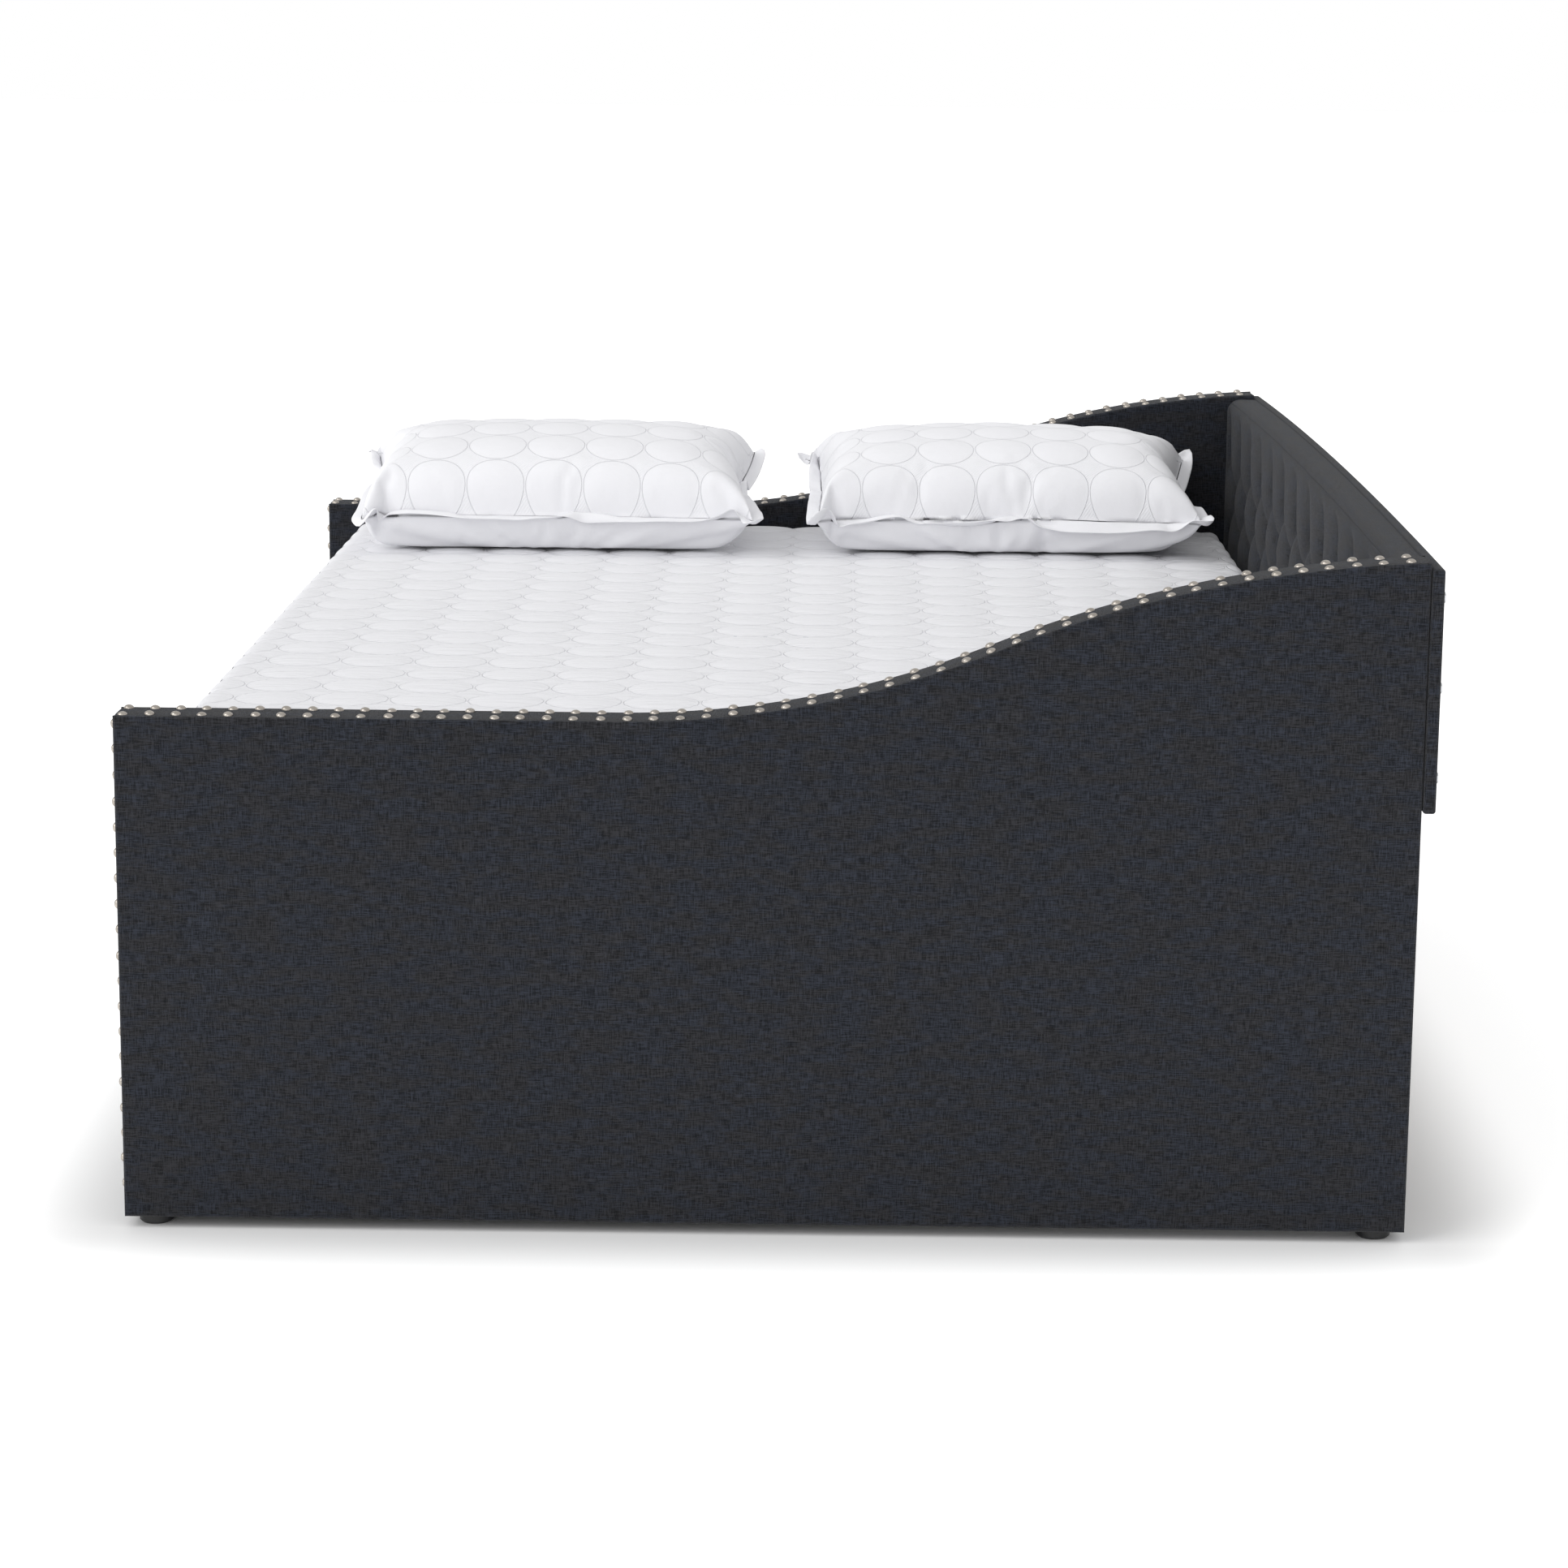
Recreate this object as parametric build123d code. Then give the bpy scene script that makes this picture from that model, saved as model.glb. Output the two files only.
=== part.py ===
"""Upholstered queen-size daybed with a roll-out trundle, dressed with a mattress and two pillows.

Millimetres. +X runs along the bed's length, to the right as seen from the open front; the front faces -Y and
the tufted back is at +Y; +Z is up. The origin is on the floor, under the middle of the whole bed's box.
"""

from build123d import *

import os

# ---------------------------------------------------------------- driving dimensions
# Mattresses, which size the frame around them.
MATTRESS_LENGTH = 2032.0
MATTRESS_WIDTH = 1524.0
MATTRESS_THICKNESS = 235.0
MATTRESS_CORNER_R = 60.0
MATTRESS_EDGE_R = 28.0
MATTRESS_WALL = 22.0  # ticking and foam round the light spring core
COVER_THICKNESS = 5.0  # quilted mattress protector
COVER_SKIRT = 200.0  # how far the protector comes down the mattress's sides
END_GAP = 2.0  # protector to arm
FRONT_GAP = 7.0  # protector to front rail
BACK_GAP = 6.0  # protector to tufted back

# Arms. Their depth follows from the mattress between the front rail and the tufted back.
ARM_FRONT_TOP = 667.0  # height of the low front run above the floor
ARM_BACK_TOP = 878.0  # height at the back
CURVE_START = 633.0  # where the top line starts to rise, from the arm's front
CURVE_JOIN_ALONG = 0.466  # where its hollow arc meets its round arc, as shares of the run and the rise
CURVE_JOIN_UP = 0.441
BAND_THICKNESS = 4.0  # boxing strip round the arm's edge
ARM_PAD = 8.0  # foam and fabric on each face
ARM_BOARD = 4.0  # plywood on each face
ARM_LUMBER = 48.0  # thickness of the timber frame between the boards
LUMBER_WIDTH = 50.0
STUD_COUNT = 3
BOLT_RAIL_HEIGHT = 70.0  # the arm's rail that takes the side rails' bolts

# Nailhead trim.
NAIL_DIAMETER = 13.0
NAIL_HEIGHT = 4.5
NAIL_PITCH = 33.3
NAIL_CORNER = 11.0  # first nail from the top front corner
NAIL_INSET = 2.5  # each row's distance into the timber from the plywood
NAIL_END = 15.0  # least distance from the last nail to the band's end
NAIL_SHANK_R = 0.9
NAIL_SHANK = 14.0

# Feet under the arms.
FOOT_DIAMETER = 44.0
FOOT_HEIGHT = 14.0
FOOT_INSET = 14.0
FOOT_BEVEL = 3.0

# Back.
BACK_LAP = 18.0  # part of the back that stands behind the arms
BACK_BOTTOM = 561.0
BACK_DROP = 8.0  # back's top corners below the arms' tops
BACK_ARCH = 12.5  # rise of the back's top at its middle
PAD_THICKNESS = 48.0  # tufted pad in front of the arms' back faces
BACK_WRAP = 3.0  # fabric and wadding round the back board
PAD_ROLL_R = 22.0
BATTEN_WIDTH = 40.0
BATTEN_THICKNESS = 20.0
BATTEN_EDGE = 10.0
TUFT_PITCH = 166.0
TUFT_TOP = 93.0  # first row below the back's top corners
TUFT_ROW_PITCH = 70.0
TUFT_DEPTH = 28.0
TUFT_MOUTH_R = 36.0
BUTTON_R = 12.0
BUTTON_THICKNESS = 7.0
BACK_BOLT_COUNT = 3
BACK_BOLT_EDGE = 40.0

# Side rails and what they carry.
RAIL_THICKNESS = 40.0
RAIL_BELOW = 45.0  # rail's lower edge below the ledgers' tops
RAIL_ABOVE = 77.0  # rail's upper edge above the slats' tops
RAIL_RECESS = 5.0  # behind the arm's front face
RAIL_WRAP = 6.0
RAIL_GAP = 0.5  # rail end to arm
LEDGER_WIDTH = 30.0
LEDGER_HEIGHT = 30.0
LEDGER_END = 72.0  # ledger's end from the arm
SLAT_COUNT = 14
SLAT_WIDTH = 70.0
SLAT_THICKNESS = 18.0
SLAT_TOP = 398.0
SLAT_GAP = 2.0  # slat end to rail
SLAT_EDGE = 6.0  # first slat to arm
WEBBING_WIDTH = 50.0
WEBBING_THICKNESS = 1.2
WEBBING_INSET = 260.0
SOFT_CLEARANCE = 0.4  # webbing to mattress and protector to pillow

# Steel fittings.
STEEL = 3.0
BRACKET_LEG = 60.0
BRACKET_HEIGHT = 36.0
BOLT_R = 4.0
BOLT_HEAD_R = 7.0
BOLT_HEAD = 5.0
BOLT_GRIP = 26.0  # bolt thread inside the arm's timber
BACK_BOLT_LENGTH = 45.0
SCREW_GRIP = 18.0
BEAM_SIZE = 40.0
BEAM_WALL = 1.5
BEAM_END_GAP = 6.0
LEG_R = 19.0
LEG_WALL = 1.5
LEG_PLATE = 64.0
LEG_OFFSET = 500.0
LEG_CAP = 8.0
LEG_CAP_R = 22.0
BEAM_TO_TRUNDLE = 25.0

# Pillows.
PILLOW_DEPTH = 440.0
PILLOW_HEIGHT = 203.0
PILLOW_WALL = 4.0
PILLOW_ARM_GAP = 8.0  # pillow to the left arm
PILLOW_EDGE_GAP = 25.0  # pillow's end to the mattress's edge, before the shift
PILLOW_MIDDLE_GAP = 40.0  # between the two pillows
PILLOW_SHIFT = 15.0  # how far both lie towards the bed's front

# Trundle.
TRUNDLE_MATTRESS_WIDTH = 990.0
TRUNDLE_GAP = 10.0  # round the trundle's mattress, and panel end to arm
TRAY_SET_IN = 25.0  # tray's side behind the front panel's end
TRUNDLE_PANEL = 30.0
TRUNDLE_PANEL_WRAP = 6.0
TRUNDLE_PANEL_BOTTOM = 28.0
TRUNDLE_UNDER_RAIL = 13.0
TRUNDLE_BOARD = 25.0
TRUNDLE_WRAP = 3.0
TRUNDLE_BOARD_BOTTOM = 45.0
TRUNDLE_BOARD_TOP = 235.0
WHEEL_HEADROOM = 9.5  # wheel to the caster's plate
BEARER_THICKNESS = 22.0
BEARER_WIDTH = 90.0
BEARER_INSET = 65.0  # bearer's middle from the tray's end
TRUNDLE_LEDGER = 22.0
TRUNDLE_SLAT_COUNT = 12
TRUNDLE_SLAT_WIDTH = 65.0
TRUNDLE_SLAT_THICKNESS = 15.0
TRUNDLE_SLAT_GAP = 2.0
TRUNDLE_TRAVEL_CLEARANCE = 5.0

# Casters.
WHEEL_R = 25.0
WHEEL_WIDTH = 20.0
WHEEL_BEVEL = 3.0
AXLE_R = 4.0
RUNNING_FIT = 0.05
CASTER_SHEET = 2.5
CHEEK_GAP = 1.5
CHEEK_WIDTH = 24.0
CASTER_PLATE = (44.0, 70.0)
CASTER_INSET = 60.0
AXLE_HEAD_R = 6.5
AXLE_HEAD = 2.0

# ---------------------------------------------------------------- places worked out from them
ARM_THICKNESS = ARM_LUMBER + 2 * (ARM_BOARD + ARM_PAD)
NAIL_EDGE = ARM_PAD + ARM_BOARD + NAIL_INSET  # each row's distance from the band's edge
INSIDE = MATTRESS_LENGTH / 2 + COVER_THICKNESS + END_GAP  # arm's inner face
OUTSIDE = INSIDE + ARM_THICKNESS
ARM_MIDDLE = INSIDE + ARM_THICKNESS / 2

RAIL_ZONE = RAIL_RECESS + RAIL_THICKNESS + FRONT_GAP
ARM_DEPTH = RAIL_ZONE + MATTRESS_WIDTH + 2 * COVER_THICKNESS + BACK_GAP + PAD_THICKNESS
OVERALL_DEPTH = NAIL_HEIGHT + ARM_DEPTH + BACK_LAP + BOLT_HEAD
FRONT = NAIL_HEIGHT - OVERALL_DEPTH / 2  # arm's front face
REAR = FRONT + ARM_DEPTH  # arm's back face

RAIL_FRONT = FRONT + RAIL_RECESS
RAIL_INSIDE = RAIL_FRONT + RAIL_THICKNESS
COVER_FRONT = RAIL_INSIDE + FRONT_GAP
MATTRESS_FRONT = COVER_FRONT + COVER_THICKNESS
MATTRESS_REAR = MATTRESS_FRONT + MATTRESS_WIDTH
PAD_FRONT = REAR - PAD_THICKNESS
BOARD_FRONT = REAR + BACK_WRAP
BOARD_REAR = REAR + BACK_LAP - BACK_WRAP
REAR_RAIL_INSIDE = PAD_FRONT
BACK_END_TOP = ARM_BACK_TOP - BACK_DROP
BACK_MID_TOP = BACK_END_TOP + BACK_ARCH

LEDGER_TOP = SLAT_TOP - SLAT_THICKNESS
RAIL_BOTTOM = LEDGER_TOP - RAIL_BELOW
RAIL_TOP = SLAT_TOP + RAIL_ABOVE
MATTRESS_BOTTOM = SLAT_TOP + WEBBING_THICKNESS + SOFT_CLEARANCE
MATTRESS_TOP = MATTRESS_BOTTOM + MATTRESS_THICKNESS
COVER_TOP = MATTRESS_TOP + COVER_THICKNESS
BRACKET_BOTTOM = LEDGER_TOP - BRACKET_HEIGHT - 2
BRACKET_MIDDLE = BRACKET_BOTTOM + BRACKET_HEIGHT / 2
BOLT_RAIL = (BRACKET_MIDDLE - BOLT_RAIL_HEIGHT / 2, BRACKET_MIDDLE + BOLT_RAIL_HEIGHT / 2)
PILLOW_WIDTH = (MATTRESS_WIDTH - PILLOW_MIDDLE_GAP) / 2 - PILLOW_EDGE_GAP

TRAY_HALF = INSIDE - TRUNDLE_GAP - TRAY_SET_IN - TRUNDLE_BOARD
TRAY_FRONT = RAIL_FRONT + TRUNDLE_PANEL
TRAY_REAR = TRAY_FRONT + TRUNDLE_MATTRESS_WIDTH + 2 * TRUNDLE_GAP
TRUNDLE_REAR = TRAY_REAR + TRUNDLE_BOARD
TRUNDLE_PANEL_TOP = RAIL_BOTTOM - TRUNDLE_UNDER_RAIL
BEARER_BOTTOM = 2 * WHEEL_R + WHEEL_HEADROOM + CASTER_SHEET
BEARER_TOP = BEARER_BOTTOM + BEARER_THICKNESS
TRUNDLE_SLAT_BOTTOM = BEARER_TOP + TRUNDLE_LEDGER
BEARER_X = TRAY_HALF - BEARER_INSET

BEAM_Y = TRUNDLE_REAR + BEAM_TO_TRUNDLE + LEG_R
BEAM_BOTTOM = LEDGER_TOP - BEAM_SIZE


# ---------------------------------------------------------------- helpers
def block(x, y, z):
    """A box between two values on each axis."""
    size = Vector(x[1] - x[0], y[1] - y[0], z[1] - z[0])
    middle = Vector(x[0] + x[1], y[0] + y[1], z[0] + z[1]) * 0.5
    return Pos(middle) * Box(*size)


def rod(start, direction, radius, length):
    """A cylinder that begins at a point and runs along a direction."""
    plane = Plane(origin=start, z_dir=direction)
    return plane * Cylinder(radius, length, align=(Align.CENTER, Align.CENTER, Align.MIN))


def wrapped(x, y, z, thickness):
    """A board and the closed fabric wrap round it, from the wrap's outer box."""
    inner = [(low + thickness, high - thickness) for low, high in (x, y, z)]
    board = block(*inner)
    return board, block(x, y, z) - board


def bolt(point, direction, length, hole=0.0):
    """A hex bolt whose head stands on a surface at point; direction is the way the thread goes in."""
    head = Plane(origin=point, z_dir=-Vector(direction)) * extrude(RegularPolygon(BOLT_HEAD_R, 6), BOLT_HEAD)
    return head + rod(point, direction, BOLT_R, length)


def drilled(shape, bolts):
    """The shape with the bolts' shanks taken out of it."""
    for one in bolts:
        shape = shape - one
    return shape


def both_sides(shapes):
    """Shapes on the right and their mirror images on the left."""
    return [*shapes, *(mirror(s, about=Plane.YZ) for s in shapes)]


def solids_of(shapes):
    """Every solid in a shape or a list of shapes."""
    found = []
    for shape in shapes if isinstance(shapes, (list, tuple)) else [shapes]:
        found.extend(shape.solids())
    return found


# ---------------------------------------------------------------- arms
def arm_top_line():
    """The arm's top edge in the YZ plane, from front to back: level, then a hollow arc and a round arc."""
    start, end = Vector(FRONT + CURVE_START, ARM_FRONT_TOP), Vector(REAR, ARM_BACK_TOP)
    join = start + Vector((end - start).X * CURVE_JOIN_ALONG, (end - start).Y * CURVE_JOIN_UP)
    level = Line((FRONT, ARM_FRONT_TOP), start)
    hollow = TangentArc(start, join, tangent=(1, 0))
    crown = TangentArc(join, end, tangent=hollow % 1)
    return [level, hollow, crown]


def arm_outline(inset=0.0):
    """The arm seen from its side, as a face in a plane whose x is the bed's Y and whose y is Z."""
    top = arm_top_line()
    back = Line(top[-1] @ 1, (REAR, FOOT_HEIGHT))
    under = Line((REAR, FOOT_HEIGHT), (FRONT, FOOT_HEIGHT))
    front = Line((FRONT, FOOT_HEIGHT), (FRONT, ARM_FRONT_TOP))
    face = make_face(Curve() + [*top, back, under, front])
    return offset(face, amount=-inset, kind=Kind.INTERSECTION) if inset else face


def arm_slab(face, start, thickness):
    """A side outline given thickness along X, from start outwards."""
    return extrude(Plane.YZ.offset(start) * face, thickness)


def arm_frame(start):
    """The timber frame between the arm's boards, as separate members."""
    outer = arm_outline(BAND_THICKNESS)
    ring = arm_slab(outer - arm_outline(BAND_THICKNESS + LUMBER_WIDTH), start, ARM_LUMBER)
    x = (start, start + ARM_LUMBER)
    low, high = FOOT_HEIGHT, ARM_BACK_TOP + LUMBER_WIDTH
    front_end, back_end = FRONT + BAND_THICKNESS + LUMBER_WIDTH, REAR - BAND_THICKNESS - LUMBER_WIDTH
    front_post = ring & block(x, (FRONT, front_end), (low, high))
    rear_post = ring & block(x, (back_end, REAR), (low, high))
    between = ring & block(x, (front_end, back_end), (low, high))
    bolt_rail = block(x, (front_end, back_end), BOLT_RAIL)
    rail_top = low + BAND_THICKNESS + LUMBER_WIDTH
    members = [front_post, rear_post, *between.solids(), bolt_rail]
    spacing = (back_end - front_end) / (STUD_COUNT + 1)
    for i in range(STUD_COUNT):
        y = front_end + (i + 1) * spacing
        stud = block(x, (y - LUMBER_WIDTH / 2, y + LUMBER_WIDTH / 2), (rail_top, BOLT_RAIL[0]))
        members.append(stud)
    return members


def edge_band():
    """The boxing round the arm's edge, as its front, back, bottom and top strips."""
    ring = arm_slab(arm_outline() - arm_outline(BAND_THICKNESS), INSIDE, ARM_THICKNESS)
    x = (INSIDE, OUTSIDE)
    front, rear = FRONT + BAND_THICKNESS, REAR - BAND_THICKNESS
    low, high = FOOT_HEIGHT, ARM_BACK_TOP + BAND_THICKNESS
    under = low + BAND_THICKNESS
    return [
        ring & block(x, (FRONT, front), (low, high)),
        ring & block(x, (rear, REAR), (low, high)),
        ring & block(x, (front, rear), (low, under)),
        ring & block(x, (front, rear), (under, high)),
    ]


def nail():
    """One domed nail: head on the XY plane, shank below it."""
    sphere_r = (NAIL_DIAMETER**2 / 4 + NAIL_HEIGHT**2) / (2 * NAIL_HEIGHT)
    ball = Pos(0, 0, NAIL_HEIGHT - sphere_r) * Sphere(sphere_r)
    size = 4 * sphere_r
    dome = ball & Pos(0, 0, size / 2) * Box(size, size, size)
    return dome + rod((0, 0, 0), (0, 0, -1), NAIL_SHANK_R, NAIL_SHANK)


def nail_places(x):
    """Where one row's nails stand on the band at x: down the front edge, then back along the top."""
    places = []
    height = ARM_FRONT_TOP - NAIL_CORNER
    while height > FOOT_HEIGHT + NAIL_END:
        places.append(Plane(origin=(x, FRONT, height), z_dir=(0, -1, 0)))
        height -= NAIL_PITCH
    top = Wire(arm_top_line())
    along = NAIL_CORNER
    while along < top.length - NAIL_END:
        point = top.position_at(along, position_mode=PositionMode.LENGTH)
        way = top.tangent_at(along, position_mode=PositionMode.LENGTH)
        places.append(Plane(origin=(x, point.X, point.Y), z_dir=(0, -way.Y, way.X)))
        along += NAIL_PITCH
    return places


def arm_nails():
    one = nail()
    rows = (INSIDE + NAIL_EDGE, OUTSIDE - NAIL_EDGE)
    return [place * one for x in rows for place in nail_places(x)]


def arm_feet():
    foot = Cylinder(FOOT_DIAMETER / 2, FOOT_HEIGHT, align=(Align.CENTER, Align.CENTER, Align.MIN))
    foot = chamfer(foot.edges().group_by(Axis.Z)[0], FOOT_BEVEL)
    inset = FOOT_INSET + FOOT_DIAMETER / 2
    return [Pos(ARM_MIDDLE, y, 0) * foot for y in (FRONT + inset, REAR - inset)]


def right_arm(bolts):
    """The right arm's pieces by name, drilled for the bolts that go into it."""
    filled = arm_outline(BAND_THICKNESS)
    inner_board = INSIDE + ARM_PAD
    lumber = inner_board + ARM_BOARD
    outer_board = lumber + ARM_LUMBER
    return {
        "frame": [drilled(member, bolts) for member in arm_frame(lumber)],
        "inner_board": drilled(arm_slab(filled, inner_board, ARM_BOARD), bolts),
        "outer_board": arm_slab(filled, outer_board, ARM_BOARD),
        "inner_pad": drilled(arm_slab(filled, INSIDE, ARM_PAD), bolts),
        "outer_pad": arm_slab(filled, outer_board + ARM_BOARD, ARM_PAD),
        "edge_band": [drilled(strip, bolts) for strip in edge_band()],
        "nailheads": arm_nails(),
        "feet": arm_feet(),
    }


# ---------------------------------------------------------------- back
def back_outline(half, trim):
    """The back seen from the front, with its gently arched top: a face in the XZ plane."""
    bottom, end_top, mid_top = BACK_BOTTOM + trim, BACK_END_TOP - trim, BACK_MID_TOP - trim
    arch = ThreePointArc((-half, end_top), (0, mid_top), (half, end_top))
    sides = Polyline((half, end_top), (half, bottom), (-half, bottom), (-half, end_top))
    return make_face(Curve() + [arch, sides])


def back_slab(face, front, thickness):
    """A back outline given thickness towards +Y."""
    return extrude(Plane(origin=(0, front, 0), x_dir=(1, 0, 0), z_dir=(0, -1, 0)) * face, -thickness)


def tuft_places():
    """The buttons' places on the back as (x, z), every second row moved half a pitch."""
    places = []
    half_count = int((INSIDE - RAIL_GAP - BUTTON_R) // TUFT_PITCH)
    row_count = int((BACK_END_TOP - TUFT_TOP - TUFT_MOUTH_R - BACK_BOTTOM) // TUFT_ROW_PITCH) + 1
    for row in range(row_count):
        z = BACK_END_TOP - TUFT_TOP - row * TUFT_ROW_PITCH
        start = (row % 2 / 2 - half_count) * TUFT_PITCH
        places += [(start + i * TUFT_PITCH, z) for i in range(2 * half_count + 1 - row % 2)]
    return places


def back_battens():
    half = INSIDE - BATTEN_EDGE
    y = (BOARD_FRONT - BATTEN_THICKNESS, BOARD_FRONT)
    low = BACK_BOTTOM + BATTEN_EDGE
    high = BACK_END_TOP - BATTEN_EDGE - BATTEN_WIDTH
    return [block((-half, half), y, (z, z + BATTEN_WIDTH)) for z in (low, high)]


def back_pad(battens):
    """The foam and its fabric, with a rolled top edge and a cone sunk for each button."""
    pad = back_slab(back_outline(INSIDE - RAIL_GAP, 0), PAD_FRONT, BOARD_FRONT - PAD_FRONT)
    top_edge = pad.faces().sort_by(Axis.Y)[0].edges().sort_by(Axis.Z)[-1]
    pad = fillet(top_edge, PAD_ROLL_R)
    cone = Cone(TUFT_MOUTH_R, BUTTON_R + 1, TUFT_DEPTH, align=(Align.CENTER, Align.CENTER, Align.MIN))
    for x, z in tuft_places():
        pad = pad - Plane(origin=(x, PAD_FRONT, z), z_dir=(0, 1, 0)) * cone
    for batten in battens:
        pad = pad - batten
    return pad


def back_buttons():
    button = Cylinder(BUTTON_R, BUTTON_THICKNESS, align=(Align.CENTER, Align.CENTER, Align.MIN))
    button = fillet(button.edges().group_by(Axis.Z)[-1], BUTTON_THICKNESS / 2)
    seat = PAD_FRONT + TUFT_DEPTH
    return [Plane(origin=(x, seat, z), z_dir=(0, -1, 0)) * button for x, z in tuft_places()]


def back_bolts():
    """Bolts that go through the back's ends into the arms' rear posts."""
    rear = REAR + BACK_LAP
    low, high = BACK_BOTTOM + BACK_BOLT_EDGE, BACK_END_TOP - BACK_BOLT_EDGE
    heights = [low + (high - low) * i / (BACK_BOLT_COUNT - 1) for i in range(BACK_BOLT_COUNT)]
    right = [bolt((ARM_MIDDLE, rear, z), (0, -1, 0), BACK_BOLT_LENGTH) for z in heights]
    return both_sides(right)


def back_parts(bolts):
    """The back's pieces by name."""
    board = back_slab(back_outline(OUTSIDE - BACK_WRAP, BACK_WRAP), BOARD_FRONT, BOARD_REAR - BOARD_FRONT)
    cover = back_slab(back_outline(OUTSIDE, 0), REAR, BACK_LAP) - board
    # The pad stands on the board itself, so the wrap is open between the arms.
    half = INSIDE - RAIL_GAP
    cover = cover - back_slab(back_outline(half, 0), REAR, BACK_WRAP)
    battens = back_battens()
    return {
        "back_board": drilled(board, bolts),
        "back_cover": drilled(cover, bolts),
        "back_battens": battens,
        "back_tufted_pad": back_pad(battens),
        "back_buttons": back_buttons(),
        "back_bolts": bolts,
    }


# ---------------------------------------------------------------- rails, slats and beam
def rail_bracket(y_rail, towards):
    """A steel angle in the right-hand corner of a rail; towards is +1 where the bed lies at higher Y."""
    z = (BRACKET_BOTTOM, BRACKET_BOTTOM + BRACKET_HEIGHT)
    far, thick = y_rail + towards * BRACKET_LEG, y_rail + towards * STEEL
    on_arm = block((INSIDE - STEEL, INSIDE), sorted((y_rail, far)), z)
    on_rail = block((INSIDE - BRACKET_LEG, INSIDE), sorted((y_rail, thick)), z)
    return on_arm + on_rail


def bracket_bolts(y_rail, towards):
    """The bolts of one bracket: one into the arm and one into the rail."""
    along = BRACKET_LEG * 2 / 3
    arm_length = STEEL + ARM_PAD + ARM_BOARD + BOLT_GRIP
    into_arm = bolt((INSIDE - STEEL, y_rail + towards * along, BRACKET_MIDDLE), (1, 0, 0), arm_length)
    start = (INSIDE - along, y_rail + towards * STEEL, BRACKET_MIDDLE)
    into_rail = bolt(start, (0, -towards, 0), STEEL + RAIL_WRAP + SCREW_GRIP)
    return [into_arm, into_rail]


def rails(bolts):
    """Front and rear rails with their wraps, and the ledgers that the slats rest on."""
    half = INSIDE - RAIL_GAP
    z = (RAIL_BOTTOM, RAIL_TOP)
    front, front_wrap = wrapped((-half, half), (RAIL_FRONT, RAIL_INSIDE), z, RAIL_WRAP)
    rear_y = (REAR_RAIL_INSIDE, REAR_RAIL_INSIDE + RAIL_THICKNESS)
    rear, rear_wrap = wrapped((-half, half), rear_y, z, RAIL_WRAP)
    ledger_x = (LEDGER_END - INSIDE, INSIDE - LEDGER_END)
    ledger_z = (LEDGER_TOP - LEDGER_HEIGHT, LEDGER_TOP)
    ledgers = [
        block(ledger_x, (RAIL_INSIDE, RAIL_INSIDE + LEDGER_WIDTH), ledger_z),
        block(ledger_x, (REAR_RAIL_INSIDE - LEDGER_WIDTH, REAR_RAIL_INSIDE), ledger_z),
    ]
    return {
        "front_rail": drilled(front, bolts),
        "front_rail_cover": drilled(front_wrap, bolts),
        "rear_rail": drilled(rear, bolts),
        "rear_rail_cover": drilled(rear_wrap, bolts),
        "slat_ledgers": ledgers,
    }


def slats(count, width, x_half, y, z):
    """Evenly spaced slats that run front to back, the end ones against x_half."""
    pitch = (2 * x_half - width) / (count - 1)
    starts = [-x_half + i * pitch for i in range(count)]
    return [block((x, x + width), y, z) for x in starts]


def webbing(x_half, y_lines, z):
    return [block((-x_half, x_half), (y, y + WEBBING_WIDTH), (z, z + WEBBING_THICKNESS)) for y in y_lines]


def beam_hangers():
    """A steel cradle on each arm that the beam's end drops into."""
    x = (INSIDE - BRACKET_LEG / 2, INSIDE)
    low = BEAM_BOTTOM - STEEL
    outer = BEAM_SIZE / 2 + RAIL_GAP + STEEL
    cradle = block(x, (BEAM_Y - outer, BEAM_Y + outer), (low, LEDGER_TOP))
    inner = outer - STEEL
    room = block((x[0] - 1, INSIDE - STEEL), (BEAM_Y - inner, BEAM_Y + inner), (BEAM_BOTTOM, LEDGER_TOP + 1))
    return both_sides([cradle - room])


def support_legs():
    """Tubes with top plates under the beam, behind the trundle."""
    plate_z = (BEAM_BOTTOM - STEEL, BEAM_BOTTOM)
    legs = []
    for x in (-LEG_OFFSET, LEG_OFFSET):
        half = LEG_PLATE / 2
        plate = block((x - half, x + half), (BEAM_Y - LEG_R, BEAM_Y + LEG_R), plate_z)
        height = plate_z[0] - LEG_CAP
        tube = rod((x, BEAM_Y, LEG_CAP), (0, 0, 1), LEG_R, height)
        bore = rod((x, BEAM_Y, LEG_CAP), (0, 0, 1), LEG_R - LEG_WALL, height)
        legs.append(plate + (tube - bore))
    return legs


def beam_parts():
    half = INSIDE - BEAM_END_GAP
    y = (BEAM_Y - BEAM_SIZE / 2, BEAM_Y + BEAM_SIZE / 2)
    z = (BEAM_BOTTOM, LEDGER_TOP)
    hollow_y = (y[0] + BEAM_WALL, y[1] - BEAM_WALL)
    hollow_z = (z[0] + BEAM_WALL, z[1] - BEAM_WALL)
    tube = block((-half, half), y, z) - block((-INSIDE, INSIDE), hollow_y, hollow_z)
    caps = [rod((x, BEAM_Y, 0), (0, 0, 1), LEG_CAP_R, LEG_CAP) for x in (-LEG_OFFSET, LEG_OFFSET)]
    return {
        "support_beam": tube,
        "beam_hangers": beam_hangers(),
        "support_legs": support_legs(),
        "leg_caps": caps,
    }


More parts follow.
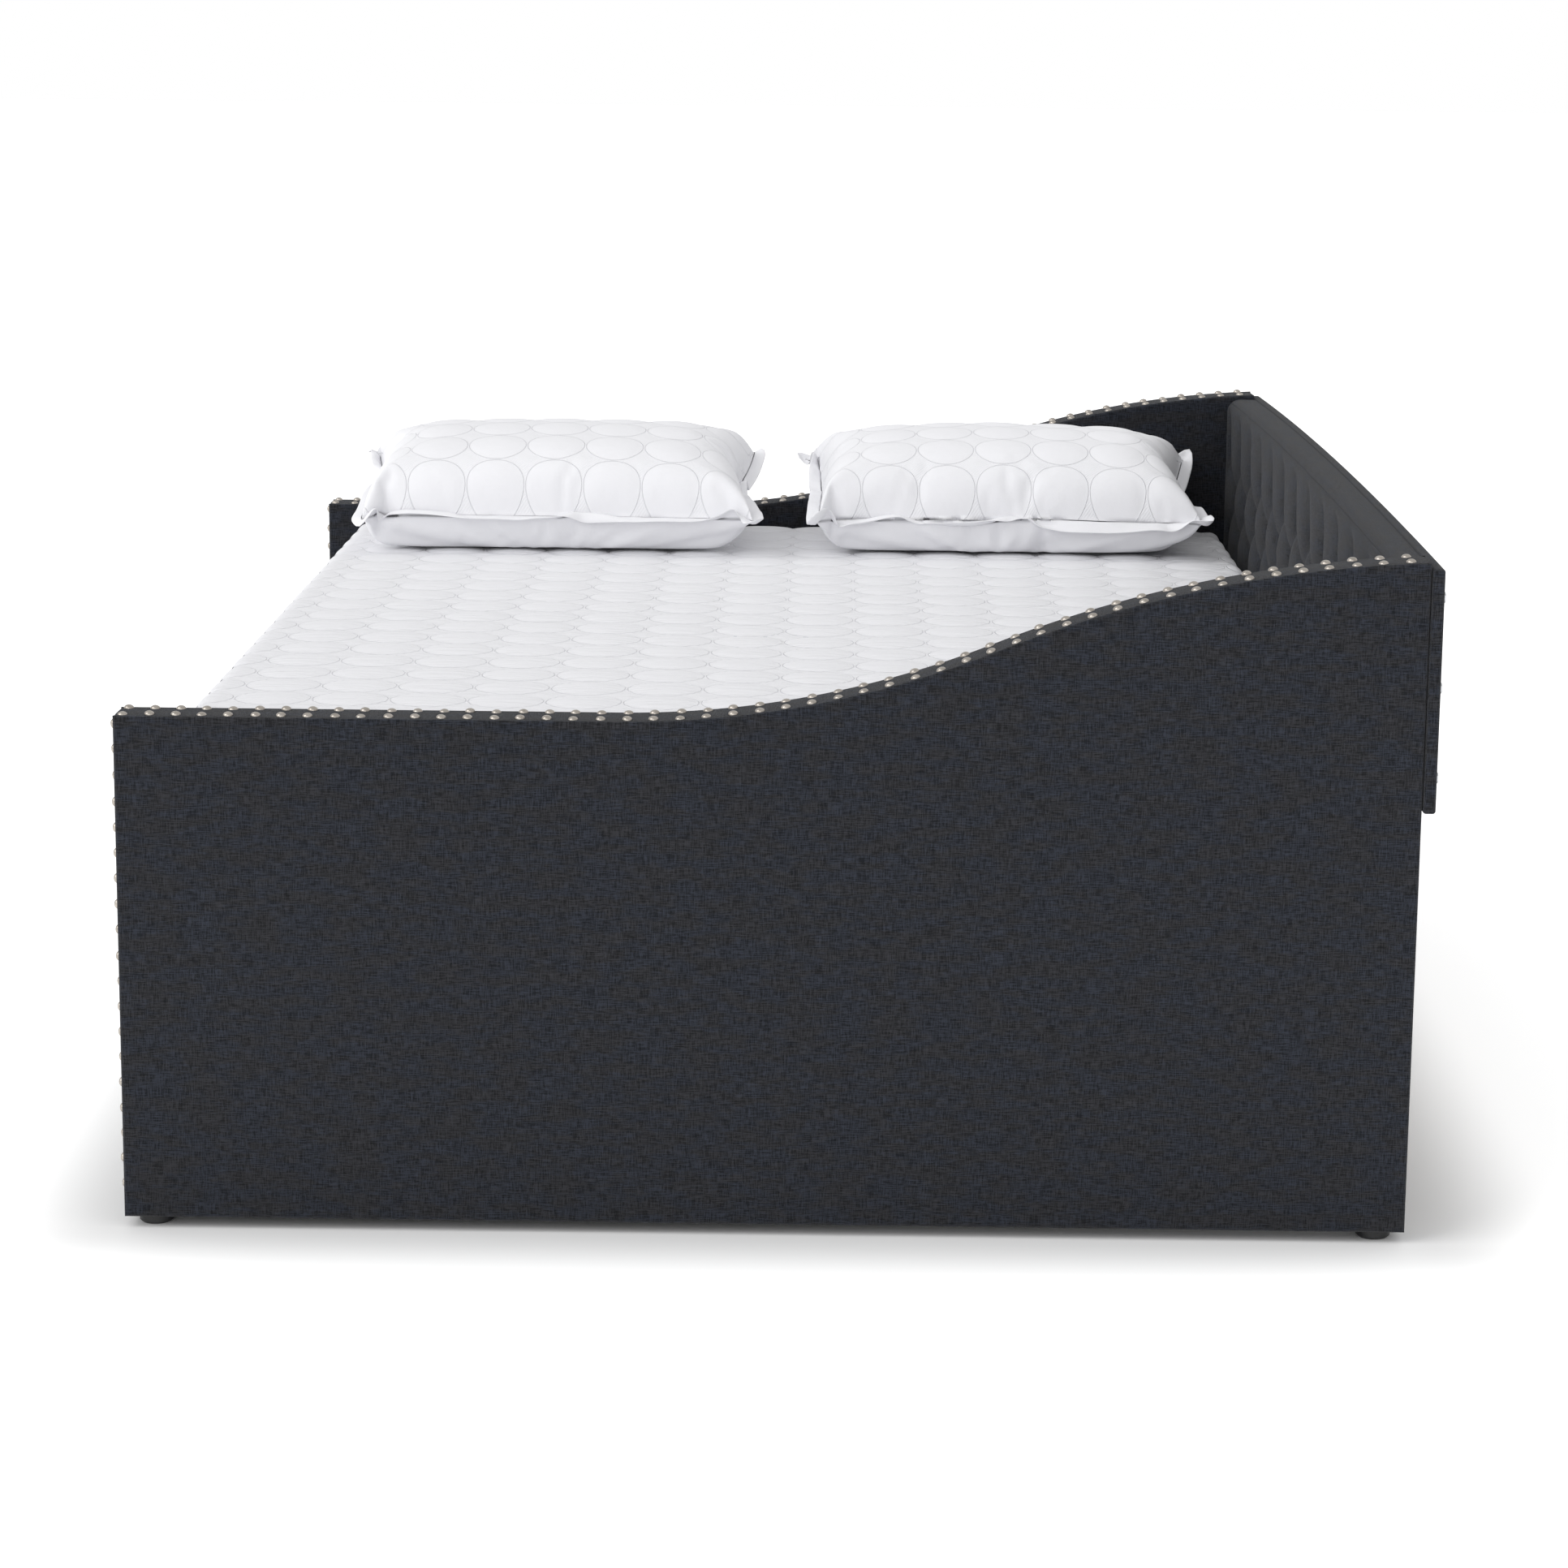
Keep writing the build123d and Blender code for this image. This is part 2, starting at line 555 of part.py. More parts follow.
def slat_deck():
    y = (RAIL_INSIDE + SLAT_GAP, REAR_RAIL_INSIDE - SLAT_GAP)
    x_half = INSIDE - SLAT_EDGE
    lines = (y[0] + WEBBING_INSET, y[1] - WEBBING_INSET - WEBBING_WIDTH)
    return {
        "bed_slats": slats(SLAT_COUNT, SLAT_WIDTH, x_half, y, (LEDGER_TOP, SLAT_TOP)),
        "slat_webbing": webbing(x_half, lines, SLAT_TOP),
    }


# ---------------------------------------------------------------- bedding
def rounded_block(x, y, z, corner, edge):
    """A box with rounded upright corners and softer top and bottom edges."""
    body = block(x, y, z)
    body = fillet(body.edges().filter_by(Axis.Z), corner)
    rims = [*body.edges().group_by(Axis.Z)[0], *body.edges().group_by(Axis.Z)[-1]]
    return fillet(rims, edge)


def mattress():
    x = (-MATTRESS_LENGTH / 2, MATTRESS_LENGTH / 2)
    y = (MATTRESS_FRONT, MATTRESS_REAR)
    z = (MATTRESS_BOTTOM, MATTRESS_TOP)
    core = [(low + MATTRESS_WALL, high - MATTRESS_WALL) for low, high in (x, y, z)]
    return rounded_block(x, y, z, MATTRESS_CORNER_R, MATTRESS_EDGE_R) - block(*core)


def mattress_cover():
    """The protector: a fitted cap over the mattress's top and sides."""
    x = MATTRESS_LENGTH / 2
    y = (MATTRESS_FRONT, MATTRESS_REAR)
    t = COVER_THICKNESS
    low = MATTRESS_TOP - COVER_SKIRT
    outer = rounded_block(
        (-x - t, x + t),
        (y[0] - t, y[1] + t),
        (low - 2 * MATTRESS_EDGE_R, COVER_TOP),
        MATTRESS_CORNER_R + t,
        MATTRESS_EDGE_R + t,
    )
    inner = rounded_block((-x, x), y, (low - COVER_SKIRT, MATTRESS_TOP), MATTRESS_CORNER_R, MATTRESS_EDGE_R)
    room = 2 * MATTRESS_LENGTH
    return outer - inner - Pos(0, 0, low - room / 2) * Box(room, room, room)


def pillow_shape(shrink):
    """A plump rectangular pillow at the middle of its own box, smaller by a wall all round."""
    width, depth, height = (side - 2 * shrink for side in (PILLOW_WIDTH, PILLOW_DEPTH, PILLOW_HEIGHT))
    body = Box(depth, width, height)
    body = fillet(body.edges().filter_by(Axis.Z), depth * 0.22)
    rims = [*body.edges().group_by(Axis.Z)[0], *body.edges().group_by(Axis.Z)[-1]]
    return fillet(rims, height * 0.4)


def pillow(side):
    """One pillow at the left arm, hollow for its light filling; side is -1 at the front, +1 at the back."""
    x = -INSIDE + PILLOW_ARM_GAP + PILLOW_DEPTH / 2
    y = (MATTRESS_FRONT + MATTRESS_REAR + side * (PILLOW_WIDTH + PILLOW_MIDDLE_GAP)) / 2 - PILLOW_SHIFT
    z = COVER_TOP + SOFT_CLEARANCE + PILLOW_HEIGHT / 2
    return Pos(x, y, z) * (pillow_shape(0) - pillow_shape(PILLOW_WALL))


# ---------------------------------------------------------------- trundle
def trundle_box(bolts):
    """The trundle's four upholstered boards: a wide front panel and the three sides of the tray."""
    panel_half = INSIDE - TRUNDLE_GAP
    panel_y = (RAIL_FRONT, TRAY_FRONT)
    panel_z = (TRUNDLE_PANEL_BOTTOM, TRUNDLE_PANEL_TOP)
    front, front_wrap = wrapped((-panel_half, panel_half), panel_y, panel_z, TRUNDLE_PANEL_WRAP)
    z = (TRUNDLE_BOARD_BOTTOM, TRUNDLE_BOARD_TOP)
    side_x = (TRAY_HALF, TRAY_HALF + TRUNDLE_BOARD)
    right, right_wrap = wrapped(side_x, (TRAY_FRONT, TRUNDLE_REAR), z, TRUNDLE_WRAP)
    rear, rear_wrap = wrapped((-TRAY_HALF, TRAY_HALF), (TRAY_REAR, TRUNDLE_REAR), z, TRUNDLE_WRAP)
    left, left_wrap = (mirror(s, about=Plane.YZ) for s in (right, right_wrap))
    return {
        "trundle_front_board": front,
        "trundle_front_cover": front_wrap,
        "trundle_rear_board": drilled(rear, bolts),
        "trundle_rear_cover": drilled(rear_wrap, bolts),
        "trundle_right_board": drilled(right, bolts),
        "trundle_right_cover": drilled(right_wrap, bolts),
        "trundle_left_board": drilled(left, bolts),
        "trundle_left_cover": drilled(left_wrap, bolts),
    }


def trundle_bolts():
    """Bolts through the side boards into the rear board's ends."""
    y = (TRAY_REAR + TRUNDLE_REAR) / 2
    height = TRUNDLE_BOARD_TOP - TRUNDLE_BOARD_BOTTOM
    heights = [TRUNDLE_BOARD_BOTTOM + height * share for share in (0.25, 0.75)]
    length = TRUNDLE_BOARD + BOLT_GRIP + TRUNDLE_WRAP
    right = [bolt((TRAY_HALF + TRUNDLE_BOARD, y, z), (-1, 0, 0), length) for z in heights]
    return both_sides(right)


def trundle_deck():
    """Bearers, ledgers, centre rail and slats inside the tray."""
    half = BEARER_WIDTH / 2
    tray_y = (TRAY_FRONT, TRAY_REAR)
    bearer_x = (BEARER_X - half, BEARER_X + half)
    bearers = both_sides([block(bearer_x, tray_y, (BEARER_BOTTOM, BEARER_TOP))])
    z = (BEARER_TOP, TRUNDLE_SLAT_BOTTOM)
    x = (-TRAY_HALF, TRAY_HALF)
    ledgers = [
        block(x, (TRAY_FRONT, TRAY_FRONT + TRUNDLE_LEDGER), z),
        block(x, (TRAY_REAR - TRUNDLE_LEDGER, TRAY_REAR), z),
    ]
    middle = (TRAY_FRONT + TRAY_REAR) / 2
    centre = block(x, (middle - LUMBER_WIDTH / 2, middle + LUMBER_WIDTH / 2), z)
    slat_y = (tray_y[0] + TRUNDLE_SLAT_GAP, tray_y[1] - TRUNDLE_SLAT_GAP)
    slat_z = (TRUNDLE_SLAT_BOTTOM, TRUNDLE_SLAT_BOTTOM + TRUNDLE_SLAT_THICKNESS)
    x_half = TRAY_HALF - TRUNDLE_SLAT_GAP
    lines = (slat_y[0] + WEBBING_INSET, slat_y[1] - WEBBING_INSET - WEBBING_WIDTH)
    return {
        "trundle_bearers": bearers,
        "trundle_ledgers": ledgers,
        "trundle_centre_rail": centre,
        "trundle_slats": slats(TRUNDLE_SLAT_COUNT, TRUNDLE_SLAT_WIDTH, x_half, slat_y, slat_z),
        "trundle_webbing": webbing(x_half, lines, slat_z[1]),
    }


def caster_bracket():
    """A pressed fork: a plate under the bearer and two cheeks, with its axle's holes, at x = y = 0."""
    wide, deep = CASTER_PLATE
    top = BEARER_BOTTOM
    plate = block((-wide / 2, wide / 2), (-deep / 2, deep / 2), (top - CASTER_SHEET, top))
    start = WHEEL_WIDTH / 2 + CHEEK_GAP
    cheek_top = top - CASTER_SHEET
    cheek = block((start, start + CASTER_SHEET), (-CHEEK_WIDTH / 2, CHEEK_WIDTH / 2), (WHEEL_R, cheek_top))
    cheek = cheek + rod((start, 0, WHEEL_R), (1, 0, 0), CHEEK_WIDTH / 2, CASTER_SHEET)
    fork = plate + cheek + mirror(cheek, about=Plane.YZ)
    return fork - rod((-wide, 0, WHEEL_R), (1, 0, 0), AXLE_R, 2 * wide)


def caster_axle():
    half = WHEEL_WIDTH / 2 + CHEEK_GAP + CASTER_SHEET
    axle = rod((-half, 0, WHEEL_R), (1, 0, 0), AXLE_R, 2 * half)
    heads = [rod((side * half, 0, WHEEL_R), (side, 0, 0), AXLE_HEAD_R, AXLE_HEAD) for side in (-1, 1)]
    return axle + heads[0] + heads[1]


def caster_wheel():
    wheel = rod((-WHEEL_WIDTH / 2, 0, WHEEL_R), (1, 0, 0), WHEEL_R, WHEEL_WIDTH)
    wheel = chamfer(wheel.edges().filter_by(GeomType.CIRCLE), WHEEL_BEVEL)
    return wheel - rod((-WHEEL_WIDTH, 0, WHEEL_R), (1, 0, 0), AXLE_R + RUNNING_FIT, 2 * WHEEL_WIDTH)


def casters():
    """Four fixed casters under the bearers' ends; each wheel is a part of its own."""
    places = {
        "front_left": Pos(-BEARER_X, TRAY_FRONT + CASTER_INSET, 0),
        "front_right": Pos(BEARER_X, TRAY_FRONT + CASTER_INSET, 0),
        "rear_left": Pos(-BEARER_X, TRAY_REAR - CASTER_INSET, 0),
        "rear_right": Pos(BEARER_X, TRAY_REAR - CASTER_INSET, 0),
    }
    fork, axle, wheel = caster_bracket(), caster_axle(), caster_wheel()
    made = {
        "caster_forks": [place * fork for place in places.values()],
        "caster_axles": [place * axle for place in places.values()],
    }
    for name, place in places.items():
        made["caster_wheel_" + name] = place * wheel
    return made


# ---------------------------------------------------------------- the whole bed
def build():
    """Every node's shapes by name."""
    back_fixings = back_bolts()
    corners = [(RAIL_INSIDE, 1), (REAR_RAIL_INSIDE, -1)]
    rail_fixings = both_sides([one for corner in corners for one in bracket_bolts(*corner)])
    right_fixings = [one for one in (*back_fixings, *rail_fixings) if one.center().X > 0]
    parts = {}
    for name, shapes in right_arm(right_fixings).items():
        group = solids_of(shapes)
        parts["right_arm_" + name] = group
        parts["left_arm_" + name] = [mirror(s, about=Plane.YZ) for s in group]
    parts.update(back_parts(back_fixings))
    parts.update(rails(rail_fixings))
    brackets = both_sides([rail_bracket(*corner) for corner in corners])
    parts["rail_brackets"] = [drilled(one, rail_fixings) for one in brackets]
    parts["rail_bolts"] = rail_fixings
    parts.update(beam_parts())
    parts.update(slat_deck())
    parts["mattress"] = mattress()
    parts["mattress_cover"] = mattress_cover()
    parts["pillow_front"] = pillow(-1)
    parts["pillow_back"] = pillow(1)
    tray_fixings = trundle_bolts()
    parts.update(trundle_box(tray_fixings))
    parts["trundle_bolts"] = tray_fixings
    parts.update(trundle_deck())
    parts.update(casters())
    return parts


os.makedirs("parts", exist_ok=True)
for node, shapes in build().items():
    group = solids_of(shapes)
    export_step(group[0] if len(group) == 1 else Compound(children=group), f"parts/{node}.step")
    print(node, len(group))
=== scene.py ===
# %% [markdown]
# # An upholstered trundle daybed
# The bed stands on its own: two fabric arms with nail trim, a tufted back, a quilted mattress protector,
# two pillows, and a second low bed that rolls out from underneath. The CAD model is the fixed frame.
# Everything made here is a nicer skin for it, in the same place and at the same size.

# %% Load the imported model
import math

import bmesh
import bpy
import numpy as np
from mathutils import Matrix, Vector


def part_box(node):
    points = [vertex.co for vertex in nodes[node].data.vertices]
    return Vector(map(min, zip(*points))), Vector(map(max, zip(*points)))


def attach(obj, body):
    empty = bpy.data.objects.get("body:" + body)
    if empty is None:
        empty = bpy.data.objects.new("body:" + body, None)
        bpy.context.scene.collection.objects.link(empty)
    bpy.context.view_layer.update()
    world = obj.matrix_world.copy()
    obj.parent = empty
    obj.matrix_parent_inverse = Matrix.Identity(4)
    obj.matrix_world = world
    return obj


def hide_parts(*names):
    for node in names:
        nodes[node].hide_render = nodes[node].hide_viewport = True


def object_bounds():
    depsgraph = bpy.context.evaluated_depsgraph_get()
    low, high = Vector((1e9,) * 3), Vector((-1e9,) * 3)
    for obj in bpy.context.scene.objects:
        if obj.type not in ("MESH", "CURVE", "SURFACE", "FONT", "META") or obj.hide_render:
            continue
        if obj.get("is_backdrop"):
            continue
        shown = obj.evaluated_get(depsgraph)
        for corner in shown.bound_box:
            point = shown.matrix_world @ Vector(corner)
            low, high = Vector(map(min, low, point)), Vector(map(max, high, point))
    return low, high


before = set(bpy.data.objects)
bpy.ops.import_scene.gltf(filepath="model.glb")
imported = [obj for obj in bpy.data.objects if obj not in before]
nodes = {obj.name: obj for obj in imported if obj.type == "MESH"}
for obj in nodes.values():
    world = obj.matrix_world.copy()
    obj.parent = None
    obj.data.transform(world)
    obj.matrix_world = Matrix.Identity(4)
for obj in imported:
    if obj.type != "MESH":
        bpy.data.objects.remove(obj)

cad_low, cad_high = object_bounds()
scene = bpy.context.scene
print("CAD box", [round(v, 4) for v in (*cad_low, *cad_high)], "nodes", len(nodes))

# %% [markdown]
# ## Camera
# The bed is seen from its right end, a little from above, with a long lens. A camera is a place, three
# turns and a lens. Its rotation is built here from the direction it looks in, so each turn has a plain
# meaning.

# %% Camera
CAMERA_AT = Vector((5.895, 0.070, 1.548))
LOOKS_DOWN = math.radians(11.28)
TURNS_LEFT = math.radians(0.69)
ROLLS = math.radians(0.53)
LENS = 89.8  # millimetres, on a sensor 36 mm wide

ahead = Vector((-math.cos(LOOKS_DOWN) * math.cos(TURNS_LEFT),
                -math.cos(LOOKS_DOWN) * math.sin(TURNS_LEFT),
                -math.sin(LOOKS_DOWN)))
level_right = ahead.cross(Vector((0, 0, 1))).normalized()
level_up = level_right.cross(ahead)
right = level_right * math.cos(ROLLS) + level_up * math.sin(ROLLS)
up = level_up * math.cos(ROLLS) - level_right * math.sin(ROLLS)

camera = bpy.data.objects.new("camera", bpy.data.cameras.new("camera"))
camera.data.lens = LENS
camera.data.sensor_width = 36.0
camera.data.clip_end = 60.0
turn = Matrix((right, up, -ahead)).transposed()
camera.matrix_world = Matrix.Translation(CAMERA_AT) @ turn.to_4x4()
scene.collection.objects.link(camera)
scene.camera = camera
print("camera", [round(v, 2) for v in camera.location], "lens", camera.data.lens)

# %% [markdown]
# ## Light
# A studio set has a white backdrop with its own light, white light from everywhere on the subject, and
# big soft lights that shape the folds. The world does the first two: the camera sees it pure white,
# while it lights the bed a little less. Suns with very wide discs are the soft lights. The stronger one
# comes from the bed's open front. A weaker one from the side opens the shadows under the pillows.

# %% Light
BACKDROP = 1.0
ROOM_LIGHT = 0.745

scene.view_settings.view_transform = "Standard"
world = bpy.data.worlds.new("white room")
world.use_nodes = True
tree = world.node_tree
room = tree.nodes["Background"]
room.inputs["Color"].default_value = (1.0, 1.0, 1.0, 1.0)
room.inputs["Strength"].default_value = ROOM_LIGHT
backdrop = tree.nodes.new("ShaderNodeBackground")
backdrop.inputs["Strength"].default_value = BACKDROP
backdrop.inputs["Color"].default_value = (1.0, 1.0, 1.0, 1.0)
choose = tree.nodes.new("ShaderNodeMixShader")
tree.links.new(tree.nodes.new("ShaderNodeLightPath").outputs["Is Camera Ray"], choose.inputs[0])
tree.links.new(room.outputs[0], choose.inputs[1])
tree.links.new(backdrop.outputs[0], choose.inputs[2])
tree.links.new(choose.outputs[0], tree.nodes["World Output"].inputs["Surface"])
scene.world = world


def soft_sun(name, comes_from, strength, width):
    """A wide sun that shines from a direction; width is its disc in degrees, and softens its shadows."""
    light = bpy.data.lights.new(name, "SUN")
    light.energy = strength
    light.angle = math.radians(width)
    lamp = bpy.data.objects.new(name, light)
    lamp.rotation_euler = Vector(comes_from).to_track_quat("Z", "Y").to_euler()
    scene.collection.objects.link(lamp)
    return lamp


soft_sun("light_from_front", (0.45, -1.0, 0.85), 1.02, 45.0)
soft_sun("light_from_side", (1.0, -0.15, 0.1), 0.72, 60.0)

# %% [markdown]
# ## A short way to write material maths
# Every pattern below is arithmetic on coordinates. Linking nodes one by one hides that, so Number wraps
# a socket and turns +, -, * and / into Math nodes, and Finish wraps one material's tree. Numbers that
# are the same all over a surface are set on the shader itself.

# %% Material helpers
class Number:
    """A number socket in a material, with arithmetic."""

    def __init__(self, finish, socket):
        self.finish, self.socket = finish, socket

    def maths(self, operation, other=None, third=None):
        inputs = [self, other, third]
        return self.finish.node("Math", [v for v in inputs if v is not None], operation=operation)

    def __add__(self, other):
        return self.maths("ADD", other)

    def __sub__(self, other):
        return self.maths("SUBTRACT", other)

    def __mul__(self, other):
        return self.maths("MULTIPLY", other)

    def __truediv__(self, other):
        return self.maths("DIVIDE", other)

    def size(self):
        return self.maths("ABSOLUTE")

    def above(self, other):
        return self.maths("GREATER_THAN", other)

    def step(self, low, high):
        """0 below low, 1 above high and a smooth rise between them."""
        return self.finish.node("MapRange", [self, low, high, 0.0, 1.0], interpolation_type="SMOOTHSTEP")


class Finish:
    """One material, built on a Principled shader."""

    def __init__(self, name, colour, roughness, **fixed):
        self.material = bpy.data.materials.new(name)
        self.material.use_nodes = True
        self.tree = self.material.node_tree
        self.shader = self.tree.nodes["Principled BSDF"]
        self.shader.inputs["Base Color"].default_value = (*colour, 1.0)
        self.shader.inputs["Roughness"].default_value = roughness
        for label, value in fixed.items():
            socket = label.replace("_", " ").title().replace("Ior", "IOR")
            self.shader.inputs[socket].default_value = value

    def node(self, kind, inputs=(), output=0, **settings):
        """Adds a shader node, fills its inputs in order (or by name) and gives its output as a Number."""
        node = self.tree.nodes.new("ShaderNode" + kind)
        for label, value in settings.items():
            setattr(node, label, value)
        pairs = inputs.items() if isinstance(inputs, dict) else enumerate(inputs)
        for key, value in pairs:
            if isinstance(value, Number):
                self.tree.links.new(value.socket, node.inputs[key])
            else:
                node.inputs[key].default_value = value
        return Number(self, node.outputs[output])

    def stretched(self, coordinates, scale):
        """Coordinates multiplied by a scale on each axis."""
        return self.node("VectorMath", [coordinates, scale], operation="MULTIPLY")

    def place(self):
        """Where a point of the surface is, in metres."""
        return self.node("TexCoord", output="Object")

    def cloth(self):
        """Where a point lies on the flat cloth, in metres."""
        return self.node("UVMap", uv_map="cloth")

    def noise(self, coordinates, scale=1.0, detail=2.0, roughness=0.5):
        inputs = {"Vector": coordinates, "Scale": scale, "Detail": detail, "Roughness": roughness}
        return self.node("TexNoise", inputs)

    def mix(self, amount, first, second):
        """A colour between two colours."""
        inputs = {0: amount}
        for key, colour in ((6, first), (7, second)):
            inputs[key] = colour if isinstance(colour, Number) else (*colour, 1.0)
        return self.node("Mix", inputs, output=2, data_type="RGBA")

    def part(self, coordinates, axis):
        return self.node("SeparateXYZ", [coordinates], output=axis)

    def colour(self, value):
        self.tree.links.new(value.socket, self.shader.inputs["Base Color"])

    def rough(self, value):
        self.tree.links.new(value.socket, self.shader.inputs["Roughness"])

    def relief(self, height, depth):
        """Bumps of a height that runs from 0 to 1, this many metres deep."""
        bump = self.node("Bump", {"Strength": 1.0, "Distance": depth, "Height": height})
        self.tree.links.new(bump.socket, self.shader.inputs["Normal"])


print("Number and Finish are ready for", len(nodes), "CAD parts")

# %% [markdown]
# ## Charcoal upholstery cloth
# The cloth is a linen-look polyester: uneven yarns in blue-grey, near-black and a few brown ones, woven
# plain, with painted shade in the gaps between the yarns. Each yarn is a long thin streak, so two noises
# are stretched, one along the weft and one along the warp. They read the cloth's own UV map in metres,
# which keeps the yarns straight round every corner.

# %% Upholstery cloth
def charcoal_cloth():
    """Plain-woven yarns: gaps dark with painted shade, blue-grey yarns, and patches where brown ones come
    through.
    """
    f = Finish("charcoal_upholstery", (0.03, 0.033, 0.041), 0.88,
               sheen_weight=0.12, sheen_roughness=0.45, specular_ior_level=0.2)
    cloth = f.cloth()
    weft = f.noise(f.stretched(cloth, (58.0, 700.0, 0.0)), detail=3.0, roughness=0.7)
    warp = f.noise(f.stretched(cloth, (700.0, 58.0, 0.0)), detail=3.0, roughness=0.7)
    yarns = (weft * 0.53 + warp * 0.47).step(0.41, 0.59)
    # the dark end of each mix is near-black yarns and also painted shade in the sunken gaps between yarns
    blue = f.mix(yarns, (0.0042, 0.0055, 0.0087), (0.0278, 0.0322, 0.0450))
    brown = f.mix(yarns, (0.0059, 0.0059, 0.0067), (0.0309, 0.0303, 0.0334))
    patches = f.noise(f.stretched(cloth, (16.0, 52.0, 0.0)), detail=3.0, roughness=0.65).step(0.40, 0.60)
    f.colour(f.mix(patches * 0.8, blue, brown))
    f.relief(yarns, 0.0005)
    return f.material


CHARCOAL = charcoal_cloth()
print("made", CHARCOAL.name)

# %% [markdown]
# ## White cottons
# The protector and the pillow tops are quilted in touching circles. The domes are real geometry. The
# stitch line of each circle, only a millimetre wide, is relief, and its groove is coloured darker as
# painted shade: the distance to the nearest circle is worked out from the cloth's UV map. The gaps
# between circles hold tiny diagonal quilting.

# %% White cottons
QUILT_PITCH = 0.1035  # from one circle's middle to the next
QUILT_RING = 0.485  # a circle's radius, as a share of the pitch
WHITE = (0.83, 0.83, 0.855)
# painted shade: the darker colour given to the sunken stitch grooves
STITCH_GROOVE_SHADE = (0.785, 0.79, 0.82)


def white_cotton(name, quilted, wrinkle, depth):
    """White cotton with a fine weave; wrinkle is how tightly its folds lie each way, depth how deep."""
    f = Finish(name, WHITE, 0.82, sheen_weight=0.1, sheen_roughness=0.4, specular_ior_level=0.3)
    cloth = f.cloth()
    weave = f.noise(f.stretched(cloth, (1500.0, 1500.0, 0.0)), detail=1.0)
    folds = f.noise(f.stretched(cloth, wrinkle), detail=4.0, roughness=0.55)
    height = weave * 0.03 + folds * depth
    if quilted:
        across, along = (f.part(cloth, axis) / QUILT_PITCH for axis in (0, 1))
        u, v = (side - side.maths("FLOOR") - 0.5 for side in (across, along))
        radius = (u * u + v * v).maths("SQRT")
        ring = (radius - QUILT_RING).size().step(0.0, 0.014)
        outside = radius.above(QUILT_RING)
        hatch = ((across + along) * 60.0).maths("SINE").size()
        height = height + ring * 0.34 + outside * hatch * 0.12
        # painted shade: the stitch grooves get the darker colour, following the relief
        f.colour(f.mix(ring, STITCH_GROOVE_SHADE, WHITE))
    f.relief(height, 0.0022)
    return f.material


QUILTED = white_cotton("quilted_white_cotton", True, (80.0, 11.0, 0.0), 2.2)
PILLOW_TOP = white_cotton("pillow_quilted_cotton", True, (26.0, 26.0, 0.0), 0.7)
PLAIN_COTTON = white_cotton("plain_white_cotton", False, (15.0, 15.0, 0.0), 0.8)
print("quilt circles", QUILT_PITCH, "m apart")

# %% [markdown]
# ## Timber, metal and plastic
# The hidden frame matters when the trundle is out or the mattress is off, so its timber has growth rings
# and streaks, the plywood a flatter figure, and the metals and plastics their own grain and wear.

# %% Timber
def timber(name, pale, dark, ring_scale, grain):
    """Softwood: rings stretched along the board, with fine pores. grain is the scale on each axis."""
    f = Finish(name, pale, 0.55, coat_weight=0.08, coat_roughness=0.4)
    place = f.stretched(f.place(), grain)
    drift = f.noise(place, 0.6, 2.0)
    rings = (f.part(place, 0) + f.part(place, 1) + f.part(place, 2) + drift * 5.0) * ring_scale
    bands = rings.maths("SINE") * 0.5 + 0.5
    pores = f.noise(place, 28.0, 4.0, 0.7)
    f.colour(f.mix(bands * 0.45 + pores * 0.3, pale, dark))
    f.rough(pores * 0.25 + 0.45)
    f.relief(bands * 0.3 + pores * 0.7, 0.0005)
    return f.material


PINE, PINE_RINGS = (0.66, 0.47, 0.27), (0.47, 0.28, 0.13)
PINE_ALONG_X = timber("pine_along_x", PINE, PINE_RINGS, 3.2, (0.9, 26.0, 26.0))
PINE_ALONG_Y = timber("pine_along_y", PINE, PINE_RINGS, 3.2, (26.0, 0.9, 26.0))
PLYWOOD = timber("plywood", (0.62, 0.46, 0.29), (0.50, 0.33, 0.18), 1.7, (3.0, 3.0, 60.0))
print("made", PINE_ALONG_X.name, PINE_ALONG_Y.name, PLYWOOD.name)

# %% [markdown]
# The metals and plastics differ in colour, gloss and grain, but are built alike: a slow mottle towards
# the worn colour, and fine specks that both roughen and dent the surface. One function makes them all.

# %% Metals and plastics
def fine_grain(name, colour, worn, roughness, grain, depth, **fixed):
    """A plain finish with mottled colour, uneven gloss and a fine surface grain."""
    f = Finish(name, colour, roughness, **fixed)
    place = f.place()
    patches = f.noise(place, grain * 0.12, 3.0)
    specks = f.noise(place, grain, 2.0)
    f.colour(f.mix(patches.step(0.35, 0.75) * 0.6 + specks * 0.15, colour, worn))
    f.rough(specks * 0.22 + (roughness - 0.11))
    f.relief(specks, depth)
    return f.material


PEWTER = fine_grain("satin_pewter", (0.50, 0.46, 0.415), (0.33, 0.30, 0.265),
                    0.30, 900.0, 0.0001, metallic=1.0)
ZINC = fine_grain("zinc_plate", (0.62, 0.63, 0.65), (0.45, 0.46, 0.48),
                  0.34, 500.0, 0.0001, metallic=1.0)
BLACK_STEEL = fine_grain("black_powder_coat", (0.018, 0.018, 0.019), (0.035, 0.035, 0.036),
                         0.5, 1400.0, 0.0002)
BLACK_PLASTIC = fine_grain("black_moulded_plastic", (0.012, 0.012, 0.013), (0.026, 0.026, 0.027),
                           0.42, 900.0, 0.0001)
WHEEL_NYLON = fine_grain("grey_nylon", (0.06, 0.06, 0.063), (0.11, 0.11, 0.11),
                         0.45, 700.0, 0.0001)
print("made", PEWTER.name, ZINC.name, BLACK_STEEL.name, BLACK_PLASTIC.name, WHEEL_NYLON.name)
